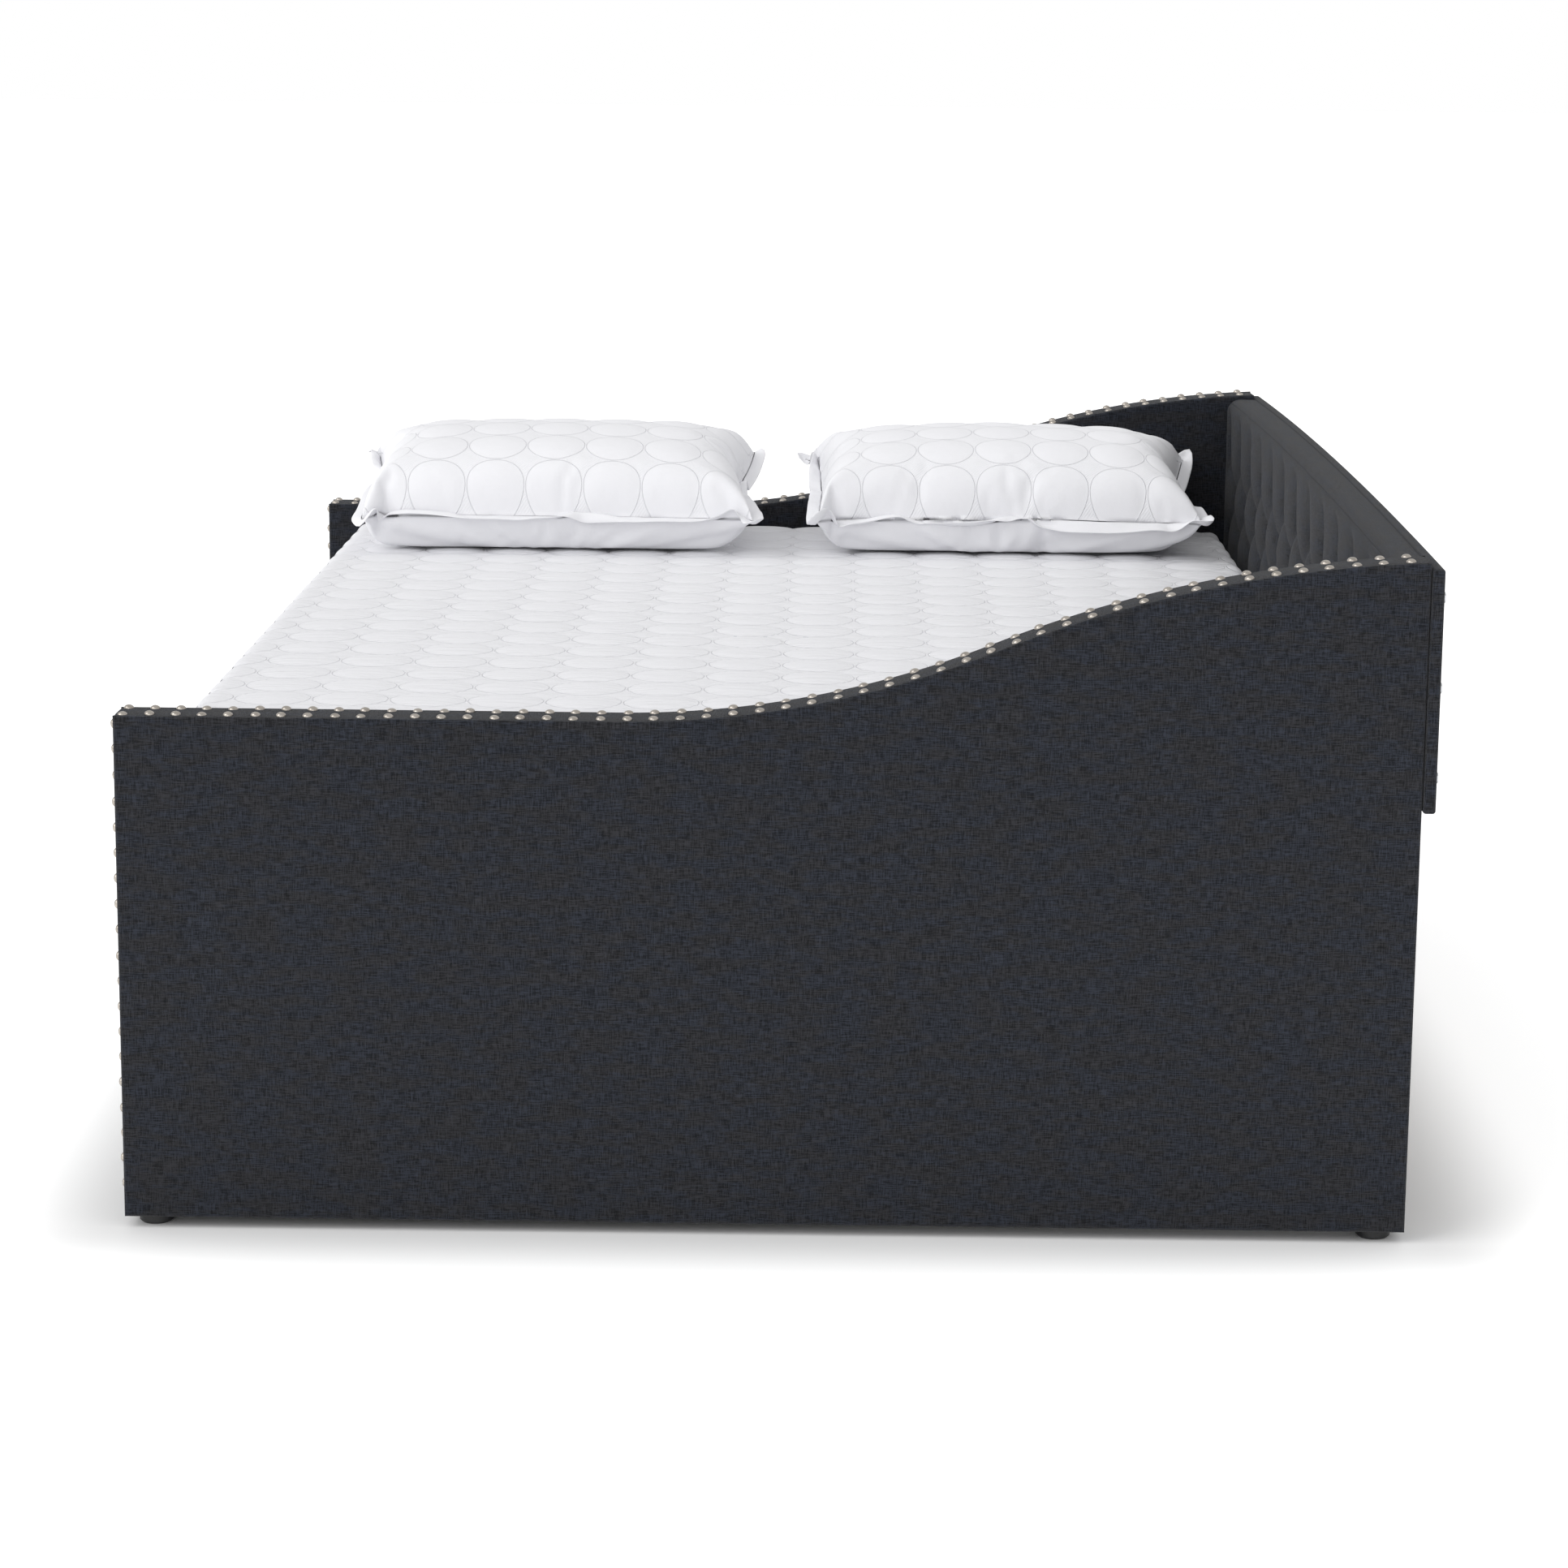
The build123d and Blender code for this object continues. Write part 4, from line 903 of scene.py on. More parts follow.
def tuft_depth(axis, side, x, z, u, v):
    """How far the front face sinks; other faces stay as they are."""
    if axis != 1 or side:
        return 0 * x
    top_row, last_row = TUFT_ROWS[0], TUFT_ROWS[-1]
    sag = np.clip(z, last_row, top_row)
    across, down = x / TUFT_PITCH, (sag - top_row) / (2 * TUFT_ROW_PITCH)
    folds = [np.abs(c - np.round(c)) for c in (across + down, across - down)]
    crease = [1 - np.sin(np.pi * np.sqrt(f**2 + 0.012**2).clip(0, 0.5)) ** 0.5 for f in folds]
    fold = np.maximum(*crease)
    nearest = np.full(x.shape, 9.0)
    for row, level in enumerate(TUFT_ROWS):
        shift = TUFT_PITCH / 2 if row % 2 else 0.0
        aside = (x - shift) - np.round((x - shift) / TUFT_PITCH) * TUFT_PITCH
        nearest = np.minimum(nearest, np.hypot(aside, z - level))
    pulled = np.exp(-((nearest / PULL_WIDTH) ** 1.4))
    above = np.clip((z - top_row) / (pad_high.z - BACK_ARCH - 0.012 - top_row), 0, 1)
    below = np.clip((last_row - z) / (last_row - pad_low.z - 0.010), 0, 1)
    fade = (1 - above**4) * (1 - below**2)
    ends = np.clip((pad_high.x - np.abs(x)) / 0.03, 0, 1)
    slack = ripple(x, z, 0.09, 61) * 0.0007
    return -ends * (FOLD_DEPTH * fold * fade + (TUFT_DEPTH - FOLD_DEPTH) * pulled + slack * fade)


pad_patches = padded_box((pad_low.x, pad_low.y + 0.0008, pad_low.z),
                         (pad_high.x, pad_high.y - 0.0003, pad_high.z - BACK_ARCH),
                         0.003, 0.0055, arch=BACK_ARCH, relief=tuft_depth, nose=TOP_ROLL)
pad = stitch("back_cushion", pad_patches, CHARCOAL)
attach(pad, "bed")
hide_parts("back_tufted_pad")
print(pad.name, len(pad.data.polygons), "faces")

# %% [markdown]
# ## Covered buttons
# A covered button is a small dome with cloth pulled over it. One dome is grown at each tuft by Geometry
# Nodes. Each dome carries its own cloth coordinates, so the weave runs over it.

# %% Covered buttons
def grow_buttons(places):
    directions = [(0.0, -1.0, 0.0)] * len(places)
    sizes = {"Radius": 0.012, "Height": 0.0068, "Material": CHARCOAL}
    g = Grower("covered_buttons", sizes)
    ball = g.add("GeometryNodeMeshUVSphere", {"Segments": 20, "Rings": 11, "Radius": g.given["Radius"]})
    height = g.add("ShaderNodeMath", {0: g.given["Height"], 1: g.given["Radius"]}, operation="DIVIDE")
    squeeze = g.add("ShaderNodeCombineXYZ", {0: 1.0, 1: 1.0, 2: height})
    dome = g.add("GeometryNodeTransform", {"Geometry": ball, "Scale": squeeze})
    place = g.add("GeometryNodeInputPosition")
    store = {"Geometry": dome, "Name": "cloth", "Value": place}
    dome = g.add("GeometryNodeStoreNamedAttribute", store, data_type="FLOAT2", domain="CORNER")
    dome = g.add("GeometryNodeSetShadeSmooth", {"Geometry": dome})
    facing = g.add("GeometryNodeInputNamedAttribute", {"Name": "facing"}, data_type="FLOAT_VECTOR")
    turned = g.add("FunctionNodeAlignRotationToVector", {"Vector": facing}, axis="Z")
    grown = g.add("GeometryNodeInstanceOnPoints",
                  {"Points": g.given["Geometry"], "Instance": dome, "Rotation": turned})
    return g.grow("back_buttons_covered", points_with_directions("tufts", places, directions), grown)


button_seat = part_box("back_buttons")[1].y
reach = int(pad_high.x // TUFT_PITCH)
tufts = []
for row, level in enumerate(TUFT_ROWS):
    steps = np.arange(-reach, reach) + 0.5 if row % 2 else np.arange(-reach, reach + 1)
    tufts += [(float(n) * TUFT_PITCH, button_seat - 0.0005, level) for n in steps]
buttons = grow_buttons(tufts)
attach(buttons, "bed")
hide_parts("back_buttons")

# %% [markdown]
# ## Plain upholstered boards
# The back's rear, the two rails and the four trundle boards are wrapped in the same cloth, with thin
# wadding. Their large faces swell slightly, and their narrow faces stay flat.

# %% Plain upholstered boards
SWELL, SWELL_RIPPLE = 0.0009, 0.0006
BOARDS = {
    "back_cover": ("back_rear_upholstery", "bed", 0.004, BACK_ARCH),
    "front_rail_cover": ("front_rail_upholstery", "bed", 0.007, 0.0),
    "rear_rail_cover": ("rear_rail_upholstery", "bed", 0.007, 0.0),
    "trundle_front_cover": ("trundle_front_upholstery", "trundle", 0.007, 0.0),
    "trundle_rear_cover": ("trundle_rear_upholstery", "trundle", 0.004, 0.0),
    "trundle_left_cover": ("trundle_left_upholstery", "trundle", 0.004, 0.0),
    "trundle_right_cover": ("trundle_right_upholstery", "trundle", 0.004, 0.0),
}


def board_swell(thin, seed):
    """A relief that swells only the two large faces, those across the board's thin direction."""
    def swell(axis, side, a, b, u, v):
        return (SWELL + SWELL_RIPPLE * ripple(a, b, 0.2, seed)) * (1 - u**6) * (1 - v**6) * (axis == thin)
    return swell


for seed, (node, (name, body, radius, arch)) in enumerate(BOARDS.items(), 70):
    low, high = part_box(node)
    size = high - low
    thin = min(range(3), key=lambda axis: size[axis])
    inset = Vector([SWELL if axis == thin else 0.0 for axis in range(3)])
    top = Vector((high.x, high.y, high.z - arch))
    patches = padded_box(low + inset, top - inset, radius, 0.014, arch=arch, relief=board_swell(thin, seed))
    board = stitch(name, patches, CHARCOAL)
    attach(board, body)
    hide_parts(node)
    print(name, len(board.data.polygons), "faces")

# %% [markdown]
# ## Slats
# Both decks are rows of pine slats, planed with eased edges. The tree sweeps one rounded section along a
# line, and sets a slat on every point. Each slat gets a random tone, which the timber reads, as no two
# boards match.

# %% Slats
def slat_timber():
    """Pine like the frame's, but each slat has a tone of its own, which shifts its rings and colour."""
    f = Finish("slat_pine", (0.66, 0.47, 0.27), 0.55, coat_weight=0.08, coat_roughness=0.4)
    place = f.stretched(f.place(), (30.0, 1.1, 30.0))
    tone = f.node("Attribute", output=2, attribute_name="tone")
    drift = f.noise(place, 0.7, 2.0)
    rings = (f.part(place, 0) + f.part(place, 1) + tone * 9.0 + drift * 6.0) * 2.4
    bands = rings.maths("SINE") * 0.5 + 0.5
    pores = f.noise(place, 26.0, 4.0, 0.7)
    wood = f.mix(bands * 0.4 + pores * 0.3, (0.68, 0.49, 0.29), (0.50, 0.31, 0.15))
    f.colour(f.mix(tone * 0.35, wood, (0.60, 0.44, 0.29)))
    f.rough(pores * 0.25 + 0.45)
    f.relief(bands * 0.3 + pores * 0.7, 0.0005)
    return f.material


SLAT_PINE = slat_timber()
SLAT_EASE = 0.0025  # rounding of a slat's long edges


def spans(node, axis):
    """Where each bar of a CAD node starts and ends along an axis, as (low, high) pairs."""
    mesh = nodes[node].data
    points = np.array([v.co[axis] for v in mesh.vertices])
    lows = np.unique(np.round(points, 4))
    return list(zip(lows[0::2], lows[1::2]))


def grow_slats(name, node, body, seed):
    """A row of slats, each as wide, long and thick as the CAD node's."""
    low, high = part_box(node)
    bars = spans(node, 0)
    sizes = {"Length": float(high.y - low.y), "Width": float(bars[0][1] - bars[0][0]),
             "Thickness": float(high.z - low.z), "Ease": SLAT_EASE, "Seed": seed, "Material": SLAT_PINE}
    g = Grower(name, sizes)
    section = g.add("GeometryNodeCurvePrimitiveQuadrilateral",
                    {"Width": g.given["Width"], "Height": g.given["Thickness"]})
    section = g.add("GeometryNodeFilletCurve",
                    {"Curve": section, "Radius": g.given["Ease"], "Count": 3}, mode="POLY")
    half = g.add("ShaderNodeMath", {0: g.given["Length"], 1: 0.5}, operation="MULTIPLY")
    back = g.add("ShaderNodeMath", {0: half, 1: -1.0}, operation="MULTIPLY")
    start = g.add("ShaderNodeCombineXYZ", {1: back})
    end = g.add("ShaderNodeCombineXYZ", {1: half})
    line = g.add("GeometryNodeCurvePrimitiveLine", {"Start": start, "End": end})
    line = g.add("GeometryNodeResampleCurve", {"Curve": line, "Count": 9})
    slat = g.add("GeometryNodeCurveToMesh", {"Curve": line, "Profile Curve": section, "Fill Caps": True})
    grown = g.add("GeometryNodeInstanceOnPoints", {"Points": g.given["Geometry"], "Instance": slat})
    limits = {2: 0.0, 3: 1.0, "Seed": g.given["Seed"]}
    tone = g.add("FunctionNodeRandomValue", limits, output=1, data_type="FLOAT")
    store = {"Geometry": grown, "Name": "tone", "Value": tone}
    grown = g.add("GeometryNodeStoreNamedAttribute", store, data_type="FLOAT", domain="INSTANCE")
    middle = (low + high) / 2
    points = bpy.data.meshes.new("slat_places")
    points.from_pydata([((a + b) / 2, middle.y, middle.z) for a, b in bars], [], [])
    slats = g.grow(name, points, grown)
    face_outwards(slats.data)
    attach(slats, body)
    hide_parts(node)
    return bars


bed_bars = grow_slats("bed_slats_planed", "bed_slats", "bed", 3)
trundle_bars = grow_slats("trundle_slats_planed", "trundle_slats", "trundle", 4)

# %% [markdown]
# ## Webbing and staples
# Woven straps, stapled to each slat, keep the slats at their spacing. Between slats a strap hangs by a
# millimetre. One section is drawn at every step along the strap, and both ends are closed. The staples
# repeat, so they are grown.

# %% Webbing straps
STRAP_SAG = 0.0011
STRAP_EDGE, STRAP_BEVEL = 0.0006, 0.0004  # a strap's edges are slightly rounded
STAPLE_ASIDE = 0.013  # from the strap's middle line


def strap_section(near, far, low, high):
    """The outline of a strap's section, as two rows of coordinates: across the strap, and up."""
    inner, outer = near + STRAP_EDGE, far - STRAP_EDGE
    across = [near, near, inner, outer, far, far, outer, inner, near]
    up = [low + STRAP_BEVEL, high - STRAP_BEVEL, high, high, high - STRAP_BEVEL, low + STRAP_BEVEL,
          low, low, low + STRAP_BEVEL]
    return np.array(across), np.array(up)


def strap_runs(bars, start, end):
    """Where the strap's sections stand along the bed, and how far each hangs between two slats."""
    over = [np.linspace(a, b, 4) for a, b in bars]
    between = [np.linspace(a[1], b[0], 6) for a, b in zip(bars, bars[1:])]
    edges = np.unique(np.concatenate(over + between))
    runs = np.concatenate([[start], edges[(edges > start) & (edges < end)], [end]])
    sag = np.zeros(len(runs))
    for (_, leaves), (meets, _) in zip(bars, bars[1:]):
        share = np.clip((runs - leaves) / (meets - leaves), 0, 1)
        sag += STRAP_SAG * np.sin(np.pi * share) ** 2
    return runs, sag


def make_straps(name, node, body, bars):
    low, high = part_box(node)
    runs, sag = strap_runs(bars, low.x, high.x)
    patches, centres = [], []
    for near, far in spans(node, 1):
        ring_y, ring_z = strap_section(near, far, low.z, high.z)
        x, y = np.meshgrid(runs, ring_y, indexing="ij")
        grid = np.stack([x, y, ring_z[None, :] - sag[:, None]], axis=-1)
        across = np.concatenate([[0], np.cumsum(np.hypot(np.diff(ring_y), np.diff(ring_z)))])
        patches.append((grid, np.stack([x, across[None, :] + 0 * x], axis=-1)))
        for end in (grid[0], grid[-1]):
            cap = np.stack([end[[1, 2, 3, 4]], end[[0, 7, 6, 5]]])
            patches.append((cap, cap[..., :2]))
        centres.append((near + far) / 2)
    straps = stitch(name, patches, WEBBING)
    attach(straps, body)
    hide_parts(node)
    print(name, len(centres), "straps")
    return centres, high.z


# %% [markdown]
# A staple shows only its crown, a short piece of wire across the strap. Each is turned a little, as a
# hand-held gun leaves it.

# %% Staples
def grow_staples(name, body, places):
    sizes = {"Crown": 0.011, "Wire": 0.00035, "Turn": 0.12, "Seed": 6, "Material": ZINC}
    g = Grower(name, sizes)
    half = g.add("ShaderNodeMath", {0: g.given["Crown"], 1: 0.5}, operation="MULTIPLY")
    less = g.add("ShaderNodeMath", {0: half, 1: -1.0}, operation="MULTIPLY")
    start = g.add("ShaderNodeCombineXYZ", {1: less})
    end = g.add("ShaderNodeCombineXYZ", {1: half})
    line = g.add("GeometryNodeCurvePrimitiveLine", {"Start": start, "End": end})
    wire = g.add("GeometryNodeCurvePrimitiveCircle", {"Resolution": 6, "Radius": g.given["Wire"]})
    staple = g.add("GeometryNodeCurveToMesh", {"Curve": line, "Profile Curve": wire, "Fill Caps": True})
    back = g.add("ShaderNodeMath", {0: g.given["Turn"], 1: -1.0}, operation="MULTIPLY")
    limits = {2: back, 3: g.given["Turn"], "Seed": g.given["Seed"]}
    turn = g.add("FunctionNodeRandomValue", limits, output=1, data_type="FLOAT")
    turned = g.add("ShaderNodeCombineXYZ", {2: turn})
    grown = g.add("GeometryNodeInstanceOnPoints",
                  {"Points": g.given["Geometry"], "Instance": staple, "Rotation": turned})
    points = bpy.data.meshes.new("staple_places")
    points.from_pydata(places, [], [])
    staples = g.grow(name, points, grown)
    face_outwards(staples.data)
    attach(staples, body)
    return staples


for name, node, body, bars in (("bed_straps", "slat_webbing", "bed", bed_bars),
                               ("trundle_straps", "trundle_webbing", "trundle", trundle_bars)):
    centres, top = make_straps(name, node, body, bars)
    sides = [y + shift for y in centres for shift in (-STAPLE_ASIDE, STAPLE_ASIDE)]
    grow_staples(name + "_staples", body, [((a + b) / 2, y, top) for a, b in bars for y in sides])

# %% [markdown]
# ## Mattress
# The mattress is a block of springs and foam in knitted ticking. Its edges are closed with a rounded
# tape. The protector hides all but its underside, so it is a soft box with a tape round its lower edge:
# a small circle carried along a rectangle with rounded corners.

# %% Mattress
TAPE = 0.0062  # radius of the tape
TAPE_SUNK = 0.0075  # its middle lies this far inside the mattress's outline


def ticking():
    """Knitted cotton with a vine: two sine waves that cross, one of them bent by a third."""
    f = Finish("knitted_ticking", (0.70, 0.70, 0.72), 0.85, sheen_weight=0.1)
    cloth = f.cloth()
    across, along = (f.part(cloth, axis) for axis in (0, 1))
    vine = ((across * 95.0 + (along * 60.0).maths("SINE") * 1.4).maths("SINE")
            * (along * 70.0).maths("SINE")).step(0.05, 0.35)
    knit = f.noise(f.stretched(cloth, (900.0, 900.0, 0.0)), detail=1.0)
    f.colour(f.mix(vine * 0.5 + knit * 0.1, (0.74, 0.74, 0.75), (0.55, 0.57, 0.62)))
    f.relief(vine * 0.6 + knit * 0.2, 0.0012)
    return f.material


def rounded_loop(low, high, radius, level):
    """Points round a rectangle with rounded corners, and which way is out."""
    points, out = [], []
    corners = ((high.x - radius, high.y - radius, 0), (low.x + radius, high.y - radius, 90),
               (low.x + radius, low.y + radius, 180), (high.x - radius, low.y + radius, 270))
    for x, y, start in corners:
        for angle in np.radians(start + np.linspace(0, 90, 9)):
            points.append((x + radius * math.cos(angle), y + radius * math.sin(angle), level))
            out.append((math.cos(angle), math.sin(angle)))
    closed = np.array(points + points[:1])
    return closed, np.array(out + out[:1])


mattress_low, mattress_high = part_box("mattress")
edge = Vector((0.0012, 0.0012, 0.0006))
mattress_patches = padded_box(mattress_low + edge, mattress_high - edge, 0.022, 0.05)
tape_path, tape_out = rounded_loop(mattress_low, mattress_high, 0.03, mattress_low.z + 0.007)
run = np.concatenate([[0], np.cumsum(np.linalg.norm(np.diff(tape_path, axis=0), axis=1))])
angles = np.linspace(0, 2 * np.pi, 11)
tube = np.zeros((len(tape_path), len(angles), 3))
sideways = (np.cos(angles) * TAPE - TAPE_SUNK)[None, :, None]
tube[..., :2] = tape_path[:, None, :2] + tape_out[:, None, :] * sideways
tube[..., 2] = tape_path[:, None, 2] + np.sin(angles) * TAPE
tube[:, -1] = tube[:, 0]
tube[-1] = tube[0]
mattress_patches.append((tube, np.stack(np.meshgrid(run, angles * TAPE, indexing="ij"), axis=-1)))
mattress = stitch("mattress_in_ticking", mattress_patches, ticking())
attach(mattress, "mattress")
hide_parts("mattress")
print(mattress.name, len(mattress.data.polygons), "faces")

# %% [markdown]
# ## Quilted mattress protector
# The protector is a fitted cap: two cottons with wadding between, quilted in touching circles. Each
# circle puffs up inside its ring of stitches. Quilting also shortens the cloth, which leaves loose
# wrinkles. Its skirt is plain quilting pulled down over the sides, a little wavy, with a turned hem.

# %% Mattress protector
PUFF = 0.0042  # how far a circle stands above its stitches
HEM = 0.02
SKIRT_LEAST = 0.1  # a face at least this tall is a side of the skirt

cover_low, cover_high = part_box("mattress_cover")


def quilt_height(across, along):
    """0 in the stitch lines and 1 on the circles' middles."""
    u = across / QUILT_PITCH
    v = along / QUILT_PITCH
    u, v = u - np.floor(u) - 0.5, v - np.floor(v) - 0.5
    radius = np.hypot(u, v)
    inside = np.clip(1 - (radius / QUILT_RING) ** 2, 0, 1) ** 0.55
    gap = np.clip((radius - QUILT_RING) / 0.2, 0, 1) * 0.45
    return np.where(radius < QUILT_RING, inside, gap)


def protector_relief(axis, side, a, b, u, v):
    """Full circles on top; weaker ones on the skirt, which waves more and more towards its hem."""
    puff = (quilt_height(a, b) - 1) * PUFF
    if axis == 2:
        return puff + ripple(a, b, 0.5, 91) * 0.0008 - 0.0006
    waves = ripple(a, b * 0.25, 0.16, 92 + axis) * 0.0012
    return puff * 0.35 + waves * np.clip(0.5 - v * 0.5, 0, 1) - 0.0016


def turn_hem(grid, cloth):
    """The hem of one side of the skirt: its lower edge, turned in and up."""
    edge_line = grid[:, 0, :]
    across = 0 if np.ptp(edge_line[:, 0]) < np.ptp(edge_line[:, 1]) else 1
    middle = (cover_low[across] + cover_high[across]) / 2
    inward = np.zeros_like(edge_line)
    inward[:, across] = -np.sign(edge_line[:, across] - middle)
    folds = [edge_line,
             edge_line + inward * 0.0022 + (0, 0, -0.0002),
             edge_line + inward * 0.0040 + (0, 0, HEM)]
    start = cloth[:, 0]
    return np.stack(folds, axis=1), np.stack([start, start + 0.001, start + HEM], axis=1)


patches = padded_box(cover_low, cover_high, 0.027, 0.0088, relief=protector_relief, open_bottom=True)
skirt = [patch for patch in patches if np.ptp(patch[0][..., 2]) > SKIRT_LEAST]
hem = [turn_hem(grid, cloth) for grid, cloth in skirt]
protector = stitch("quilted_protector", patches + hem, QUILTED, weld=1e-6)
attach(protector, "mattress")
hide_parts("mattress_cover")
print(protector.name, len(protector.data.polygons), "faces")

# %% [markdown]
# ## Pillows
# A pillow is two panels sewn together round their edge and blown up by its filling. The cloth simulation
# does just that: two flat panels share a border, pressure inside pushes them apart, and the cloth
# gathers in creases where it runs out of length. Outside the seam a flat flange, twice as thick, stays
# free of the pressure. It is what gives the pointed corners.

# %% Sewing pattern of a pillow
PANEL_ACROSS, PANEL_ALONG = 0.49, 0.74  # one panel, flat
FLANGE = 0.024
ROWS, COLUMNS = 66, 45  # points along and across a panel
START_BULGE = 0.02  # each panel starts with this much bulge in its middle


def pillow_pattern(seed):
    """Points of both panels and the flange, and which of them make the top, the bottom and its rings."""
    along = np.linspace(-PANEL_ALONG / 2, PANEL_ALONG / 2, ROWS)
    across = np.linspace(-PANEL_ACROSS / 2, PANEL_ACROSS / 2, COLUMNS)
    y, x = np.meshgrid(along, across, indexing="ij")
    u, v = x / across[-1], y / along[-1]
    bulge = START_BULGE * (1 - u**4) * (1 - v**4)
    bulge = bulge + ripple(x, y, 0.12, seed) * 0.002 * (1 - u**2) * (1 - v**2)
    top = np.arange(ROWS * COLUMNS).reshape(ROWS, COLUMNS)
    bottom = top.copy()
    inner = (np.abs(u) < 1) & (np.abs(v) < 1)
    bottom[inner] = top.size + np.arange(inner.sum())
    rim = np.concatenate([top[0, :-1], top[:-1, -1], top[-1, :0:-1], top[:0:-1, 0]])
    flat = np.stack([x, y], axis=-1).reshape(-1, 2)
    on_rim = np.stack([u, v], axis=-1).reshape(-1, 2)[rim]
    sides = np.sign(on_rim) * (np.abs(on_rim) > 0.999)
    points = [np.stack([x, y, bulge], axis=-1).reshape(-1, 3), np.stack([x, y, -bulge], axis=-1)[inner]]
    rings = [rim]
    count = top.size + int(inner.sum())
    for ring in range(1, 4):
        placed = flat[rim] + sides * FLANGE * ring / 3
        points.append(np.column_stack([placed, ripple(placed[:, 0], placed[:, 1], 0.1, seed + 1) * 0.0015]))
        rings.append(count + np.arange(len(rim)))
        count += len(rim)
    return np.concatenate(points), flat, top, bottom, np.array(rings)


print("a pillow's pattern has", len(pillow_pattern(0)[0]), "points")

# %% [markdown]
# Cloth with pressure needs faces that all look outwards, or the pillow turns itself inside out. A vertex
# group limits the pressure to the two panels. The simulation is stepped one frame at a time, and the
# points are read back from the evaluated mesh, so no modifier stays on the piece.

# %% Blow it up
FRAMES = 20
PRESSURE = 30.0


def quads_of(index):
    """The faces between neighbouring points of a grid of point numbers."""
    corners = [index[:-1, :-1], index[:-1, 1:], index[1:, 1:], index[1:, :-1]]
    return np.stack(corners, axis=-1).reshape(-1, 4)


def inflate(points, top, bottom, rings):
    """Runs the cloth simulation with pressure inside, and gives back where every point ended."""
    loop = np.concatenate([rings, rings[:, :1]], axis=1)
    faces = np.concatenate([quads_of(top), quads_of(bottom)[:, ::-1], quads_of(loop)])
    mesh = bpy.data.meshes.new("pattern")
    mesh.from_pydata(points.tolist(), [], faces.tolist())
    sewn = bpy.data.objects.new("pattern", mesh)
    scene.collection.objects.link(sewn)
    filled = sewn.vertex_groups.new(name="filled")
    filled.add([int(i) for i in np.union1d(top.ravel(), bottom.ravel())], 1.0, "REPLACE")
    cloth = sewn.modifiers.new("cloth", "CLOTH")
    cloth.settings.quality = 6
    cloth.settings.mass = 0.3
    cloth.settings.tension_stiffness = cloth.settings.compression_stiffness = 15.0
    cloth.settings.bending_stiffness = 0.4
    cloth.settings.use_pressure = True
    cloth.settings.uniform_pressure_force = PRESSURE
    cloth.settings.vertex_group_pressure = "filled"
    cloth.settings.effector_weights.gravity = 0.0
    cloth.collision_settings.use_collision = False
    cloth.point_cache.frame_end = FRAMES
    for moment in range(1, FRAMES + 1):
        scene.frame_set(moment)
    seen = sewn.evaluated_get(bpy.context.evaluated_depsgraph_get()).data
    ended = np.zeros(len(seen.vertices) * 3)
    seen.vertices.foreach_get("co", ended)
    bpy.data.objects.remove(sewn)
    scene.frame_set(1)
    return ended.reshape(-1, 3)


# %% [markdown]
# The blown-up shape is brought to the pillow's real size. A filling makes a pillow plumper near its
# seams than pressure does, and its weight draws the underside in at both short ends. Then the pillow is
# tipped forward and flattened where it rests on the bed.

# %% Shape a pillow and lay it down
PILLOW_THICKNESS = 0.222
PILLOW_TILT = math.radians(8.0)
PLUMP = 0.5  # fills the pillow out towards its seams
BOAT = 0.92  # draws the underside up towards both short ends
REAR_CORNERS, FRONT_CORNERS = 0.022, 0.004  # how far the corners of the flange curl up
PILLOW_CLEAR = 0.0008  # gap between the pillow and the bed
SOFTEN = 0.012  # the pillow rounds into its flat underside over this height


def shape_pillow(points, size, curl):
    """The blown-up points at their real size; curl lifts one rear corner more than the other."""
    points = points - (points.min(axis=0) + points.max(axis=0)) / 2
    points *= (size - (0.004, 0.002, 0)) / np.ptp(points, axis=0)
    share = (np.abs(points[:, 2]) / size[2] * 2).clip(0, 1)
    points[:, 2] *= 1 + PLUMP * (1 - share)
    ends = (np.abs(points[:, 1]) / size[1] * 2).clip(0, 1)
    points[:, 2] *= np.where(points[:, 2] < 0, np.sqrt(1 - BOAT * ends**3), 1)
    corner = (np.abs(points[:, 0]) / size[0] * 2).clip(0, 1) ** 4 * ends**6
    points[:, 2] += corner * np.where(points[:, 0] < 0, REAR_CORNERS, FRONT_CORNERS)
    points[:, 2] += corner * curl * ((points[:, 0] < 0) & (points[:, 1] > 0))
    return points


def lay_down(points, size, low, high):
    """Tips the pillow forward, moves it into its box and flattens what would sink into the bed."""
    sine, cosine = math.sin(PILLOW_TILT), math.cos(PILLOW_TILT)
    points = points @ np.array([[cosine, 0, -sine], [0, 1, 0], [sine, 0, cosine]])
    points[:, 0] *= (size[0] - 0.002) / np.ptp(points[:, 0])
    points -= (points.min(axis=0) + points.max(axis=0)) / 2
    points += [(low.x + high.x) / 2, (low.y + high.y) / 2, high.z - 0.0015 - points[:, 2].max()]
    rest = low.z + PILLOW_CLEAR
    over = points[:, 2] - rest
    flattened = SOFTEN * np.exp(np.minimum(over - SOFTEN, 0) / SOFTEN)
    points[:, 2] = rest + np.where(over < SOFTEN, flattened, over)
    return points


print("a pillow is", PILLOW_THICKNESS, "m thick and tips by", round(math.degrees(PILLOW_TILT)), "degrees")

# %% [markdown]
# The top is quilted in circles, from each point's place on the flat panel, so the circles follow the
# cloth. The underside gets creases that fan out from its front. The flange gets its thickness last: one
# layer above, one below and a closed edge. upwards() says which way these layers part.

# %% Quilting, creases and flange
PILLOW_PUFF = 0.0040
CREASES_MEET = 0.16  # the creases of the underside fan out from this far in front of its middle
CREASE_DEPTH = 0.011
FLANGE_HALF = 0.0012  # half the flange's thickness


